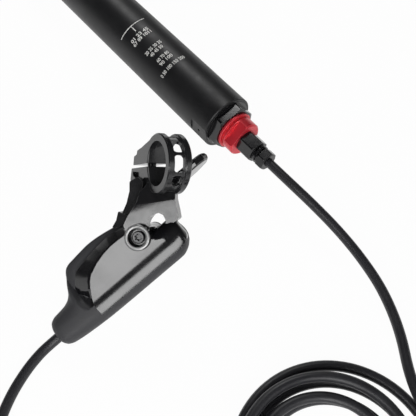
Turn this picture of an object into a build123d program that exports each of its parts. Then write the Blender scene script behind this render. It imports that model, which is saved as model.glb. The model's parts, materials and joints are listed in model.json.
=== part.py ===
"""Hydraulic dropper seatpost with its hose and thumb remote, in millimetres.

The post lies along X with its foot towards +X. The origin is on its axis at the lower tube's foot end.
"""

import math
import os

from build123d import *

os.makedirs("parts", exist_ok=True)

# Running clearances between pieces that move, and gaps that keep faces apart
slide_gap = 0.05
bump_gap = 0.5
overrun = 1.0

# Lower tube and the collar on its top
tube_od = 31.6
tube_wall = 1.7
tube_bore = tube_od - 2 * tube_wall
tube_length = 170.0
tube_chamfer = 0.5
tube_flat_length = 12.0
tube_flat_depth = 0.7
vent_diameter = 1.6
vent_from_end = 6.0
collar_length = 16.0
collar_step = 2.7
collar_od = tube_od + 2 * collar_step
collar_gap = 0.3
collar_spigot = 10.0
collar_chamfer = 1.5
knurl_count = 24
knurl_radius = 1.3
knurl_bite = 0.45
wiper_length = 5.0
wiper_lip = 0.4
wiper_lip_angle = 30.0
wiper_wall = 2.5

# Stanchion and what rides on it
travel = 125.0
lower_bush_wall = 1.6
stanchion_od = tube_bore - 2 * lower_bush_wall
stanchion_wall = 2.0
stanchion_bore = stanchion_od - 2 * stanchion_wall
stanchion_overlap = 46.0
collar_bore = stanchion_od + 2 * collar_gap
wiper_od = stanchion_od + 2 * wiper_wall
bush_length = 12.0
lower_bush_length = 7.0
key_count = 3
key_diameter = 2.4
key_rise = 0.1
key_centre_radius = stanchion_od / 2 + key_rise
gland_length = 8.0
gland_seal_length = 2.0
gland_seal_wall = 1.2
shaft_od = 8.0
shaft_bore = 3.2
shaft_flange_od = 12.0
shaft_flange_length = 3.0
piston_length = 8.0
piston_to_gland = 2.0
piston_seal_length = 2.4
piston_seal_wall = 1.4
float_length = 7.0
float_from_piston = 113.0
float_dish = 2.0

# Foot of the post
foot_plug_length = 10.0
foot_head_length = 5.6
foot_head_od = 27.0
foot_head_flats = 24.0
foot_chamfer = 0.5
adapter_thread_od = 14.0
adapter_thread_length = 5.0
adapter_flange_od = 22.0
adapter_flange_length = 1.6
adapter_neck_od = 18.4
adapter_neck_length = 1.1
adapter_od = 20.0
adapter_length = 9.6
adapter_flats = 15.0
adapter_shoulder = 1.0
adapter_seal_od = 17.0
adapter_seal_length = 0.6
flats_angle = 37.0
chamber_bore = 9.0
chamber_depth = 8.4
slave_length = 4.0
slave_start = 2.0
valve_rod_od = 3.0
poppet_od = 6.0
poppet_length = 3.0
coupling_spigot_od = 9.0
coupling_spigot_length = 5.0
coupling_flats = 11.8
coupling_od = 13.2
coupling_hex_length = 10.3
coupling_neck_od = 8.6
coupling_neck_length = 3.3
coupling_groove_od = 10.4
hose_nut_flats = 10.0
hose_nut_od = 11.2
hose_nut_length = 5.2
barb_od = 4.9
barb_bore = 2.0
barb_in_coupling = 3.0

# Saddle head. The saddle rails run along Z and the tilt centre lies on their line
head_rise = 24.5
sleeve_length = 15.0
sleeve_wall = 2.5
sleeve_od = stanchion_od + 2 * sleeve_wall
stanchion_seat_depth = 8.5
seat_radius = 12.0
flange_thickness = 4.5
flange_half_angle = 56.0
flange_half_width = 14.0
web_thickness = 5.7
web_half_height = 13.0
slot_width = 5.4
slot_start = 1.2
rail_diameter = 7.0
rail_spacing = 44.0
clamp_parting = 0.4
cradle_length = 37.0
cradle_half_width = 27.5
cradle_plate = 4.5
rail_block_depth = 7.5
rail_block_width = 10.0
upper_height = 8.0
upper_length = 26.0
cradle_fillet = 2.0
cradle_bolt_od = 5.0
cradle_bolt_hole = 5.4
cradle_bolt_offset = 7.0
cradle_bolt_head_od = 8.5
cradle_bolt_head_height = 5.0
hex_key = 4.0
socket_depth = 3.0
barrel_nut_od = 7.0
barrel_nut_length = 12.0
air_valve_od = 7.0
air_valve_length = 12.0
air_valve_bore = 4.0

# Thumb remote. Its own frame has X from the hose end to the end cap, Y towards the bar clamp
# and Z out of the face with the pivot bolt, and its origin on the pivot
remote_place = (40.1, -86.3, 25.6)
remote_run = (0.1086, 0.8807, 0.4610)
remote_face = (0.3384, -0.4688, 0.8159)
bore_across = -10.4
bore_depth = -8.0
barrel_radius = 8.6
barrel_start = -37.0
barrel_end = 13.4
body_depth = 14.0
body_bevel = 4.0
bevel_angle = 40.0
wing_outline = [
    (-37.0, -12.0), (-44.0, -5.5), (-49.5, -1.6), (-42.7, 4.6), (-39.2, 9.7), (-34.9, 13.0),
    (-7.0, 12.7), (3.5, 6.6), (10.5, -4.0), (10.5, -12.0),
]
boss_radius = 6.5
boss_height = 1.4
boss_recess = 9.6
boss_recess_depth = 3.4
lower_boss_height = 2.9
master_bore = 9.0
master_bore_length = 33.0
gallery_bore = 1.8
gallery_offset = 6.4
gallery_start = -26.0
port_from_end = 2.0
finger_slot_start = -2.4
finger_slot_length = 9.0
finger_slot_width = 4.6
end_cap_length = 5.8
end_cap_round = 5.2
end_cap_spigot = 1.0
boot_end = -60.8
boot_end_radius = 6.3
boot_rib_count = 3
boot_rib_width = 1.6
boot_rib_depth = 0.5
boot_bore = 5.2
remote_nut_od = 8.0
remote_nut_length = 11.0
reservoir_corner = (-31.0, -0.5)
reservoir_size = (19.0, 9.5)
reservoir_depth = 9.0
reservoir_fillet = 2.0
bladder_gap = 0.4
bladder_wall = 1.0
cover_margin = 3.0
cover_thickness = 1.5
cover_screw_od = 2.0
cover_screw_head_od = 3.4
cover_screw_head = 0.8
cover_screw_length = 4.0
bleed_screw_place = (-39.0, 3.4)
bleed_screw_od = 4.0
bleed_screw_head_od = 5.6
bleed_screw_length = 6.0
bleed_screw_head = 1.2

# Bar clamp, an inclined split ring on a bracket
bar_diameter = 22.2
ring_wall = 2.3
ring_width = 11.3
band_width = 3.4
ring_front = (27.7, 19.6, -0.3)
ring_axis = (-0.587, 0.533, 0.610)
ring_split = (-0.493, 0.363, -0.791)
split_gap = 1.4
jaw_start = 10.5
jaw_reach = 21.5
jaw_height = 8.2
jaw_round = 1.5
clamp_bolt_reach = 17.0
clamp_bolt_od = 4.0
clamp_bolt_head_od = 6.8
clamp_bolt_head_height = 3.6
clamp_bolt_key = 2.5
web_windows = [(215.0, 15.0), (180.0, 22.0), (140.0, 14.0)]
web_window_height_share = 0.82
bracket_top = -2.0
bracket_thickness = 7.0
bracket_outline = [
    (-3.4, 3.6), (1.9, 10.4), (9.2, 12.6), (12.8, 15.4), (17.0, 14.0), (26.5, 7.0), (25.3, 4.2),
    (23.6, 2.2), (19.6, -5.4), (15.1, -5.4), (5.0, 1.0), (3.6, -3.4), (0.0, -4.9), (-3.4, -3.4),
]
window_outline = [(6.0, 1.6), (12.4, 3.4), (14.6, 0.9), (13.6, -2.2), (11.6, -3.4)]
arm_outline = [(12.0, 21.2), (17.4, 17.4), (13.0, 13.4), (6.0, 10.8), (-1.2, 12.4), (2.5, 15.6)]
arm_top = -9.0
arm_depth = 6.0
lug_outline = [(-5.0, 13.8), (-1.0, 17.8), (2.8, 14.6), (-1.4, 10.8)]
lug_top = -7.0
lug_depth = 8.0

# Lever and the parts that it drives
pivot_bolt_od = 5.0
pivot_head_od = 8.8
pivot_head_height = 2.6
pivot_socket = 3.4
pivot_nut_od = 9.0
pivot_nut_height = 2.4
hub_radius = 6.5
hub_top = -17.0
hub_depth = 14.0
bush_wall = 1.5
lobe_reach = 10.4
lobe_radius = 3.4
lobe_thickness = 4.0
cam_pin_od = 3.0
cam_pin_top = -6.6
arm_plate_top = -26.5
arm_plate_thickness = 4.5
lever_arm_outline = [(-4.5, -4.5), (8.0, -4.5), (27.0, 9.0), (27.0, 12.4), (2.0, 11.0), (-5.0, 4.0)]
paddle_side = 10.1
paddle_thickness = 4.4
paddle_outline = [
    (6.0, -26.5), (27.0, -26.5), (31.0, -28.6), (40.0, -29.4), (44.8, -32.0), (46.2, -37.0),
    (44.0, -43.5), (36.0, -49.0), (24.0, -51.0), (12.0, -48.0), (6.0, -38.0),
]
pushrod_start = -6.2
pushrod_length = 10.0
pushrod_slot = 3.2
master_piston_length = 4.4
master_seal_length = 1.4
master_seal_wall = 0.9

# Hose, with its coil piled in two layers
hose_od = 5.0
corner_share = 0.45
heading_step = 1e-4
floor_level = -18.5
layer_rise = 5.7
coil_centre = (163.6, -75.9)
coil_outer_radius = 49.1
coil_top_radius = 46.0
coil_inner_radius = 28.4
coil_start_angle = 70.0
top_turns = 2.0
climb_turns = 0.5
bottom_turns = 2.79
drift_share = 0.2
drift_angle = 250.0
lead_last_run = 18.0
post_lead_route = [
    (50.0, 0.0, 0.0), (66.0, 1.8, -3.2), (84.0, 3.2, -7.2), (102.0, 2.2, -9.8),
    (121.0, -2.2, -10.3), (140.5, -11.5, -10.3),
]
remote_lead_route = [
    (40.6, -147.6, -15.7), (43.6, -157.4, -16.0), (49.4, -169.2, -16.0), (58.4, -181.2, -16.0),
    (73.0, -191.0, -16.0), (91.5, -195.6, -16.0), (112.0, -193.4, -16.0), (132.0, -185.4, -16.0),
    (150.4, -172.4, -16.0), (165.6, -156.6, -16.0), (179.0, -139.6, -16.0),
]
remote_exit_run = 5.0

# Places along the post
tube_top = -tube_length
collar_top = tube_top - collar_length
stanchion_end = collar_top + stanchion_overlap
shoulder = collar_top - travel - bump_gap
sleeve_top = shoulder - sleeve_length
stanchion_top = shoulder - stanchion_seat_depth
rail_x = sleeve_top - head_rise
bush_start = tube_top + collar_spigot
gland_start = stanchion_end - gland_length
piston_start = gland_start - piston_to_gland - piston_length
float_start = piston_start - float_from_piston - float_length
adapter_start = foot_head_length
body_start = adapter_start + adapter_flange_length + adapter_neck_length
adapter_end = adapter_start + adapter_length
neck_start = adapter_end + coupling_hex_length
nut_start = neck_start + coupling_neck_length
nut_end = nut_start + hose_nut_length

remote_plane = Plane(origin=remote_place, x_dir=remote_run, z_dir=remote_face)


def across(place):
    """The plane square to the post's axis at a place along it."""
    return Plane.YZ.offset(place)


def barrel_plane(along):
    """The plane square to the remote's master cylinder, X along its Y."""
    centre = remote_plane.from_local_coords(Vector(along, bore_across, bore_depth))
    return Plane(origin=centre, x_dir=remote_plane.y_dir, z_dir=remote_plane.x_dir)


def rod(plane, length, diameter, bore=0, mode=Mode.ADD):
    """A round rod or sleeve that stands on a plane."""
    with BuildSketch(plane) as section:
        Circle(diameter / 2)
        if bore:
            Circle(bore / 2, mode=Mode.SUBTRACT)
    extrude(section.sketch, amount=length, mode=mode)


def hex_socket(plane, depth, key):
    """A hexagon socket cut down from a plane's far side."""
    with BuildSketch(plane) as section:
        RegularPolygon(key / 2, 6, major_radius=False)
    extrude(section.sketch, amount=depth, mode=Mode.SUBTRACT)


def turned_hexagon(plane, length, flats, diameter, turn=0.0):
    """A hexagon prism with its corners turned round."""
    with BuildSketch(plane) as section:
        RegularPolygon(flats / 2, 6, major_radius=False, rotation=turn)
        Circle(diameter / 2, mode=Mode.INTERSECT)
    extrude(section.sketch, amount=length)


def plate(plane, thickness, outline, mode=Mode.ADD):
    """A plate of a closed outline that stands on a plane."""
    with BuildSketch(plane) as section:
        Polygon(*outline, align=None)
    extrude(section.sketch, amount=thickness, mode=mode)


def finish(piece, name):
    """Label a finished piece and write it."""
    piece.part.label = name
    export_step(piece.part, f"parts/{name}.step")


# Lower tube, with a milled flat and its vent hole near the foot
with BuildPart() as lower_tube:
    rod(across(tube_top), tube_length, tube_od)
    chamfer(lower_tube.edges().sort_by(Axis.X)[-1], tube_chamfer)
    with BuildSketch(Plane.XZ.offset(tube_od / 2 - tube_flat_depth)):
        with Locations((-tube_flat_length / 2, 0)):
            Rectangle(tube_flat_length + overrun, tube_od)
    extrude(amount=tube_flat_depth + overrun, mode=Mode.SUBTRACT)
    rod(across(tube_top), tube_length, tube_bore, mode=Mode.SUBTRACT)
    vent_plane = Plane(origin=(-vent_from_end, 0, 0), x_dir=(1, 0, 0), z_dir=(0, -1, 0))
    rod(vent_plane, tube_od, vent_diameter, mode=Mode.SUBTRACT)
finish(lower_tube, "lower_tube")

# Collar with a knurled grip and a threaded spigot
with BuildPart() as collar:
    rod(across(collar_top), collar_length, collar_od)
    chamfer(collar.edges().filter_by(GeomType.CIRCLE), collar_chamfer)
    with BuildSketch(across(collar_top)):
        with PolarLocations(collar_od / 2 + knurl_radius - knurl_bite, knurl_count, 360 / knurl_count / 2):
            Circle(knurl_radius)
    extrude(amount=collar_length, mode=Mode.SUBTRACT)
    rod(across(tube_top), collar_spigot, tube_bore)
    rod(across(collar_top), collar_length + collar_spigot, collar_bore, mode=Mode.SUBTRACT)
    rod(across(collar_top), wiper_length, wiper_od, mode=Mode.SUBTRACT)
finish(collar, "collar")

with BuildPart() as wiper_seal:
    rod(across(collar_top), wiper_length, wiper_od)
    with BuildSketch(across(collar_top)):
        Circle(stanchion_od / 2 + wiper_lip + slide_gap)
    extrude(amount=-wiper_lip, taper=wiper_lip_angle)
    sliding_bore = stanchion_od + 2 * slide_gap
    rod(across(collar_top - wiper_lip), wiper_length + wiper_lip, sliding_bore, mode=Mode.SUBTRACT)
finish(wiper_seal, "wiper_seal")

with BuildPart() as upper_bushing:
    rod(across(bush_start), bush_length, tube_bore, sliding_bore)
    with BuildSketch(across(bush_start)):
        with PolarLocations(key_centre_radius, key_count):
            Circle(key_diameter / 2)
    extrude(amount=bush_length, mode=Mode.SUBTRACT)
finish(upper_bushing, "upper_bushing")

# Guide keys, which stop the stanchion from turning
with BuildPart() as guide_keys:
    with BuildSketch(across(bush_start)):
        with PolarLocations(key_centre_radius, key_count):
            Circle(key_diameter / 2)
    extrude(amount=bush_length)
finish(guide_keys, "guide_keys")

with BuildPart() as stanchion:
    rod(across(stanchion_top), stanchion_end - stanchion_top, stanchion_od, stanchion_bore)
    with BuildSketch(across(shoulder + bump_gap)):
        with PolarLocations(key_centre_radius, key_count):
            Circle(key_diameter / 2 + 2 * slide_gap)
    extrude(amount=stanchion_end - shoulder, mode=Mode.SUBTRACT)
finish(stanchion, "stanchion")

with BuildPart() as lower_bush:
    bush_place = stanchion_end - lower_bush_length
    rod(across(bush_place), lower_bush_length, tube_bore - 2 * slide_gap, stanchion_od)
finish(lower_bush, "lower_bush")

with BuildPart() as shaft_gland:
    rod(across(gland_start), gland_length, stanchion_bore, shaft_od + 2 * slide_gap)
    seal_seat = shaft_od + 2 * slide_gap + 2 * gland_seal_wall
    rod(across(gland_start + gland_seal_length), gland_seal_length, seal_seat, mode=Mode.SUBTRACT)
finish(shaft_gland, "shaft_gland")

with BuildPart() as gland_seal:
    rod(across(gland_start + gland_seal_length), gland_seal_length, seal_seat, shaft_od + 2 * slide_gap)
finish(gland_seal, "gland_seal")

# Inner shaft, fixed to the foot, with the main piston on its end
with BuildPart() as inner_shaft:
    rod(across(piston_start), shaft_flange_length - foot_plug_length - piston_start, shaft_od)
    rod(across(shaft_flange_length - foot_plug_length), shaft_flange_length, shaft_flange_od)
    rod(across(piston_start), -piston_start, shaft_bore, mode=Mode.SUBTRACT)
finish(inner_shaft, "inner_shaft")

piston_od = stanchion_bore - 2 * slide_gap
with BuildPart() as main_piston:
    rod(across(piston_start), piston_length, piston_od, shaft_od)
    groove_start = piston_start + (piston_length - piston_seal_length) / 2
    seal_bed = piston_od - 2 * piston_seal_wall
    rod(across(groove_start), piston_seal_length, piston_od + overrun, seal_bed, Mode.SUBTRACT)
finish(main_piston, "main_piston")

with BuildPart() as piston_seal:
    rod(across(groove_start), piston_seal_length, piston_od, seal_bed)
finish(piston_seal, "piston_seal")

# Floating piston between the oil and the gas
with BuildPart() as floating_piston:
    rod(across(float_start), float_length, piston_od)
    rod(across(float_start), float_dish, piston_od - 4 * float_dish, mode=Mode.SUBTRACT)
    float_groove = float_start + (float_length - piston_seal_length) / 2
    rod(across(float_groove), piston_seal_length, piston_od + overrun, seal_bed, Mode.SUBTRACT)
finish(floating_piston, "floating_piston")

with BuildPart() as floating_seal:
    rod(across(float_groove), piston_seal_length, piston_od, seal_bed)
finish(floating_seal, "floating_seal")

# Foot nut, a turned hexagon with a plug inside the tube
with BuildPart() as foot_nut:
    turned_hexagon(across(0), foot_head_length, foot_head_flats, foot_head_od, flats_angle)
    chamfer(foot_nut.edges().group_by(Axis.X)[-1], foot_chamfer)
    rod(across(-foot_plug_length), foot_plug_length, tube_bore)
    rod(across(-foot_plug_length), foot_plug_length, shaft_od, mode=Mode.SUBTRACT)
    flange_seat = shaft_flange_length - foot_plug_length
    rod(across(flange_seat), shaft_flange_length, shaft_flange_od, mode=Mode.SUBTRACT)
    rod(across(flange_seat + shaft_flange_length), foot_plug_length, chamber_bore, mode=Mode.SUBTRACT)
    thread_start = foot_head_length - adapter_thread_length
    rod(across(thread_start), adapter_thread_length, adapter_thread_od, mode=Mode.SUBTRACT)
    seal_face = across(foot_head_length - adapter_seal_length)
    rod(seal_face, adapter_seal_length, adapter_seal_od, mode=Mode.SUBTRACT)
finish(foot_nut, "foot_nut")

with BuildPart() as adapter_seal:
    rod(seal_face, adapter_seal_length, adapter_seal_od, adapter_thread_od)
finish(adapter_seal, "adapter_seal")

# Hose adapter, round with two wrench flats below half-moon shoulders
with BuildPart() as hose_adapter:
    rod(across(body_start), adapter_end - body_start, adapter_od)
    chamfer(hose_adapter.edges().sort_by(Axis.X)[-1], foot_chamfer)
    with BuildSketch(across(body_start + adapter_shoulder)):
        with Locations(Rotation(0, 0, flats_angle)):
            with Locations((0, (adapter_flats + adapter_od) / 2), (0, -(adapter_flats + adapter_od) / 2)):
                Rectangle(2 * adapter_od, adapter_od)
    extrude(amount=adapter_length, mode=Mode.SUBTRACT)
    rod(across(adapter_start), adapter_flange_length, adapter_flange_od)
    rod(across(adapter_start + adapter_flange_length), adapter_neck_length, adapter_neck_od)
    rod(across(thread_start), adapter_thread_length, adapter_thread_od)
    rod(across(thread_start), chamber_depth, chamber_bore, mode=Mode.SUBTRACT)
    rod(across(thread_start), adapter_length, barb_od, mode=Mode.SUBTRACT)
    spigot_seat = across(adapter_end - coupling_spigot_length)
    rod(spigot_seat, coupling_spigot_length, coupling_spigot_od, mode=Mode.SUBTRACT)
finish(hose_adapter, "hose_adapter")

# Hose coupling, a hexagon with a grooved neck
with BuildPart() as hose_coupling:
    turned_hexagon(across(adapter_end), coupling_hex_length, coupling_flats, coupling_od, flats_angle)
    chamfer(hose_coupling.edges().group_by(Axis.X)[-1], foot_chamfer)
    rod(spigot_seat, coupling_spigot_length, coupling_spigot_od)
    groove_length = coupling_neck_length / 3
    rod(across(neck_start), coupling_neck_length, coupling_neck_od)
    rod(across(neck_start + groove_length), groove_length, coupling_groove_od)
    coupling_length = coupling_spigot_length + nut_start - adapter_end
    rod(spigot_seat, coupling_length, barb_bore, mode=Mode.SUBTRACT)
    rod(across(nut_start - barb_in_coupling), barb_in_coupling, barb_od, mode=Mode.SUBTRACT)
finish(hose_coupling, "hose_coupling")

with BuildPart() as hose_nut:
    turned_hexagon(across(nut_start), hose_nut_length, hose_nut_flats, hose_nut_od, flats_angle)
    chamfer(hose_nut.edges().group_by(Axis.X)[-1], foot_chamfer)
    chamfer(hose_nut.edges().group_by(Axis.X)[0], foot_chamfer)
    rod(across(nut_start), hose_nut_length, barb_od, mode=Mode.SUBTRACT)
finish(hose_nut, "hose_nut")

with BuildPart() as hose_barb:
    rod(across(nut_start - barb_in_coupling), nut_end - nut_start + barb_in_coupling, barb_od, barb_bore)
finish(hose_barb, "hose_barb")

# Valve rod inside the shaft, pushed by a small piston in the adapter's chamber
with BuildPart() as valve_rod:
    rod(across(piston_start - slide_gap), slave_start + slide_gap - piston_start, valve_rod_od)
    rod(across(piston_start - slide_gap - poppet_length), poppet_length, poppet_od)
    chamfer(valve_rod.edges().sort_by(Axis.X)[0], poppet_length / 3)
finish(valve_rod, "valve_rod")

with BuildPart() as slave_piston:
    rod(across(slave_start), slave_length, chamber_bore - 2 * slide_gap)
finish(slave_piston, "slave_piston")

# Saddle head, a sleeve and two webs that carry a curved, slotted seat
flange_radius = seat_radius + slide_gap + flange_thickness
web_inside = flange_half_width - web_thickness - overrun
with BuildPart() as seat_head:
    rod(across(sleeve_top), sleeve_length, sleeve_od)
    chamfer(seat_head.edges().filter_by(GeomType.CIRCLE), foot_chamfer)
    for side in (-1, 1):
        with BuildSketch(Plane.XZ.offset(side * web_inside)):
            Polygon(
                (sleeve_top + flange_thickness, -web_half_height),
                (sleeve_top + flange_thickness, web_half_height),
                (rail_x + 2 * seat_radius / 3, web_half_height),
                (rail_x + 2 * seat_radius / 3, -web_half_height),
                align=None,
            )
        extrude(amount=side * web_thickness)
    half_rise = flange_radius * 2 * math.tan(math.radians(flange_half_angle))
    with BuildSketch(Plane.XZ):
        with Locations((rail_x, 0)):
            Circle(flange_radius)
        Polygon(
            (rail_x, 0), (rail_x + 2 * flange_radius, -half_rise), (rail_x + 2 * flange_radius, half_rise),
            align=None, mode=Mode.INTERSECT,
        )
    extrude(amount=flange_half_width, both=True)
    with BuildSketch(Plane.XZ):
        with Locations((rail_x, 0)):
            Circle(seat_radius + slide_gap)
    extrude(amount=sleeve_od, both=True, mode=Mode.SUBTRACT)
    for side in (-1, 1):
        with BuildSketch(Plane.XY.offset(side * slot_start)):
            with Locations((rail_x + head_rise / 2, 0)):
                Rectangle(head_rise, slot_width)
        extrude(amount=side * sleeve_od, mode=Mode.SUBTRACT)
    rod(across(stanchion_top), stanchion_seat_depth, stanchion_od, mode=Mode.SUBTRACT)
    rod(across(sleeve_top), sleeve_length, air_valve_od, mode=Mode.SUBTRACT)
finish(seat_head, "seat_head")

with BuildPart() as air_valve:
    rod(across(sleeve_top), air_valve_length, air_valve_od)
    rod(across(sleeve_top), air_valve_length, air_valve_bore, mode=Mode.SUBTRACT)
finish(air_valve, "air_valve")

with BuildPart() as valve_core:
    rod(across(sleeve_top + foot_chamfer), air_valve_length - overrun, air_valve_bore)
finish(valve_core, "valve_core")

# Rail clamp, which tilts about the rails' line on the head's curved seat
rail_places = [-rail_spacing / 2, rail_spacing / 2]


def rail_grooves():
    """Cut the two saddle rails."""
    with BuildSketch(Plane.XY.offset(-cradle_length)) as section:
        with Locations(*[(rail_x, place) for place in rail_places]):
            Circle(rail_diameter / 2)
    extrude(section.sketch, amount=2 * cradle_length, mode=Mode.SUBTRACT)


def clamp_bolt_holes(start, length):
    """Cut the two clamp bolts' holes."""
    with BuildSketch(across(start)) as section:
        with Locations((0, cradle_bolt_offset), (0, -cradle_bolt_offset)):
            Circle(cradle_bolt_hole / 2)
    extrude(section.sketch, amount=length, mode=Mode.SUBTRACT)


with BuildPart() as lower_cradle:
    with BuildSketch(Plane.XY.offset(-cradle_length / 2)):
        with Locations((rail_x + (clamp_parting + cradle_plate) / 2, 0)):
            Rectangle(cradle_plate - clamp_parting, 2 * cradle_half_width)
        block_middle = cradle_half_width - rail_block_width / 2
        block_x = rail_x + (clamp_parting + rail_block_depth) / 2
        with Locations((block_x, -block_middle), (block_x, block_middle)):
            Rectangle(rail_block_depth - clamp_parting, rail_block_width)
    extrude(amount=cradle_length)
    fillet(lower_cradle.edges().filter_by(Axis.X), cradle_fillet)
    with BuildSketch(Plane.XZ):
        with Locations((rail_x, 0)):
            Circle(seat_radius)
        with Locations((rail_x + clamp_parting - seat_radius, 0)):
            Rectangle(2 * seat_radius, 4 * seat_radius, mode=Mode.SUBTRACT)
    extrude(amount=flange_half_width, both=True)
    rail_grooves()
    clamp_bolt_holes(rail_x, 2 * seat_radius)
finish(lower_cradle, "lower_cradle")

with BuildPart() as upper_cradle:
    with BuildSketch(across(rail_x - upper_height)):
        Rectangle(2 * cradle_half_width, upper_length)
    extrude(amount=upper_height - clamp_parting)
    fillet(upper_cradle.edges().filter_by(Axis.X), cradle_fillet)
    chamfer(upper_cradle.faces().sort_by(Axis.X)[0].edges(), cradle_fillet)
    rail_grooves()
    clamp_bolt_holes(rail_x - upper_height, upper_height)
finish(upper_cradle, "upper_cradle")

nut_radius = flange_radius + slide_gap + barrel_nut_od / 2
nut_x = rail_x + math.sqrt(nut_radius**2 - cradle_bolt_offset**2)
bolt_top = rail_x - upper_height
with BuildPart() as barrel_nuts:
    with BuildSketch(Plane.XZ.offset(-barrel_nut_length / 2)):
        with Locations((nut_x, cradle_bolt_offset), (nut_x, -cradle_bolt_offset)):
            Circle(barrel_nut_od / 2)
    extrude(amount=barrel_nut_length)
    with BuildSketch(across(bolt_top)):
        with Locations((0, cradle_bolt_offset), (0, -cradle_bolt_offset)):
            Circle(cradle_bolt_od / 2)
    extrude(amount=4 * seat_radius, mode=Mode.SUBTRACT)
finish(barrel_nuts, "barrel_nuts")

with BuildPart() as cradle_bolts:
    for side in (-1, 1):
        head_plane = Plane.YZ.offset(bolt_top - cradle_bolt_head_height)
        with BuildSketch(head_plane):
            with Locations((0, side * cradle_bolt_offset)):
                Circle(cradle_bolt_head_od / 2)
        extrude(amount=cradle_bolt_head_height)
        with BuildSketch(across(bolt_top)):
            with Locations((0, side * cradle_bolt_offset)):
                Circle(cradle_bolt_od / 2)
        extrude(amount=nut_x + barrel_nut_od / 3 - bolt_top)
        with BuildSketch(head_plane):
            with Locations((0, side * cradle_bolt_offset)):
                RegularPolygon(hex_key / 2, 6, major_radius=False)
        extrude(amount=socket_depth, mode=Mode.SUBTRACT)
finish(cradle_bolts, "cradle_bolts")


def level(depth, x=0.0, y=0.0):
    """A plane parallel to the remote's face, its origin over a place on that face."""
    centre = remote_plane.from_local_coords(Vector(x, y, depth))
    return Plane(origin=centre, x_dir=remote_plane.x_dir, z_dir=remote_plane.z_dir)


# Bar clamp planes: Z along the bar, X towards the split
front = remote_plane.from_local_coords(Vector(*ring_front))
bar_direction = remote_plane.from_local_coords(Vector(*ring_axis)) - remote_plane.origin
split_direction = remote_plane.from_local_coords(Vector(*ring_split)) - remote_plane.origin
ring_plane = Plane(origin=front, x_dir=split_direction, z_dir=bar_direction)
bar_radius = bar_diameter / 2
ring_od = bar_diameter + 2 * ring_wall
boot_length = barrel_start - boot_end
barrel_axis_plane = level(bore_depth, 0, bore_across)


def boot_profile(extra=0.0):
    """The tapered boot's half section, on the plane through the master cylinder's axis."""
    with BuildSketch(barrel_axis_plane) as section:
        Polygon(
            (boot_end - extra, 0), (boot_end - extra, boot_end_radius + extra),
            (barrel_start, barrel_radius - foot_chamfer + extra), (barrel_start, 0), align=None,
        )
    return section.sketch


barrel_axis = Axis(barrel_axis_plane.origin, remote_plane.x_dir)
reservoir_centre = [corner + size / 2 for corner, size in zip(reservoir_corner, reservoir_size)]
cover_screw_reach = (reservoir_size[0] + cover_margin) / 2
cover_screw_places = [
    (reservoir_centre[0] + side * cover_screw_reach, reservoir_centre[1]) for side in (-1, 1)
]


def port_plane(along):
    """The plane through the cylinder's axis that a cross passage starts from, square to the passage."""
    centre = remote_plane.from_local_coords(Vector(along, bore_across, bore_depth))
    return Plane(origin=centre, x_dir=remote_plane.x_dir, z_dir=-remote_plane.y_dir)


def gallery_plane(along):
    """The plane square to the oil gallery in the cylinder's wall."""
    centre = remote_plane.from_local_coords(Vector(along, bore_across - gallery_offset, bore_depth))
    return Plane(origin=centre, x_dir=remote_plane.y_dir, z_dir=remote_plane.x_dir)


# Remote body: a barrel with the master cylinder, a bevelled wing beside it and the pivot boss
with BuildPart() as remote_body:
    plate(level(-body_depth), body_depth - body_bevel, wing_outline)
    with BuildSketch(level(-body_bevel)):
        Polygon(*wing_outline, align=None)
    extrude(amount=body_bevel, taper=bevel_angle)
    rod(barrel_plane(barrel_start), barrel_end - barrel_start, 2 * barrel_radius)
    rod(level(-body_depth - lower_boss_height), body_depth + lower_boss_height + boss_height, 2 * boss_radius)
    fork_floor = level(bracket_top - bracket_thickness - slide_gap)
    fork_width = bracket_thickness + 2 * slide_gap
    plate(fork_floor, fork_width, bracket_outline, Mode.SUBTRACT)
    rod(fork_floor, fork_width, 2 * (boss_radius - foot_chamfer), mode=Mode.SUBTRACT)
    rod(barrel_plane(barrel_start), barrel_end - barrel_start, 2 * barrel_radius)
    revolve(boot_profile(slide_gap), barrel_axis, mode=Mode.SUBTRACT)
    rod(barrel_plane(barrel_end), -master_bore_length, master_bore, mode=Mode.SUBTRACT)
    rod(barrel_plane(barrel_start), remote_nut_length / 2, remote_nut_od, mode=Mode.SUBTRACT)
    # Oil passages from the cylinder's front end, along its wall and across to the hose
    rod(barrel_plane(barrel_start), gallery_start - barrel_start, gallery_bore, mode=Mode.SUBTRACT)
    rod(gallery_plane(gallery_start), barrel_end - gallery_start, gallery_bore, mode=Mode.SUBTRACT)
    for along in (gallery_start, barrel_end - port_from_end):
        rod(port_plane(along), gallery_offset, gallery_bore, mode=Mode.SUBTRACT)
    rod(level(boss_height - boss_recess_depth), boss_recess_depth, boss_recess, mode=Mode.SUBTRACT)
    rod(level(-body_depth - lower_boss_height), 2 * body_depth, pivot_bolt_od, mode=Mode.SUBTRACT)
    finger_slot_middle = finger_slot_start + finger_slot_length / 2
    with BuildSketch(level(bore_depth - 2 * barrel_radius, finger_slot_middle, bore_across)):
        SlotOverall(finger_slot_length, finger_slot_width)
    extrude(amount=2 * barrel_radius, mode=Mode.SUBTRACT)
    with BuildSketch(level(-body_depth, *reservoir_centre)):
        RectangleRounded(*reservoir_size, reservoir_fillet)
    extrude(amount=reservoir_depth, mode=Mode.SUBTRACT)
    rod(level(-body_depth, *bleed_screw_place), bleed_screw_length, bleed_screw_od, mode=Mode.SUBTRACT)
    for place in cover_screw_places:
        screw_depth = cover_screw_length - cover_thickness
        rod(level(-body_depth, *place), screw_depth, cover_screw_od, mode=Mode.SUBTRACT)
finish(remote_body, "remote_body")

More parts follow.
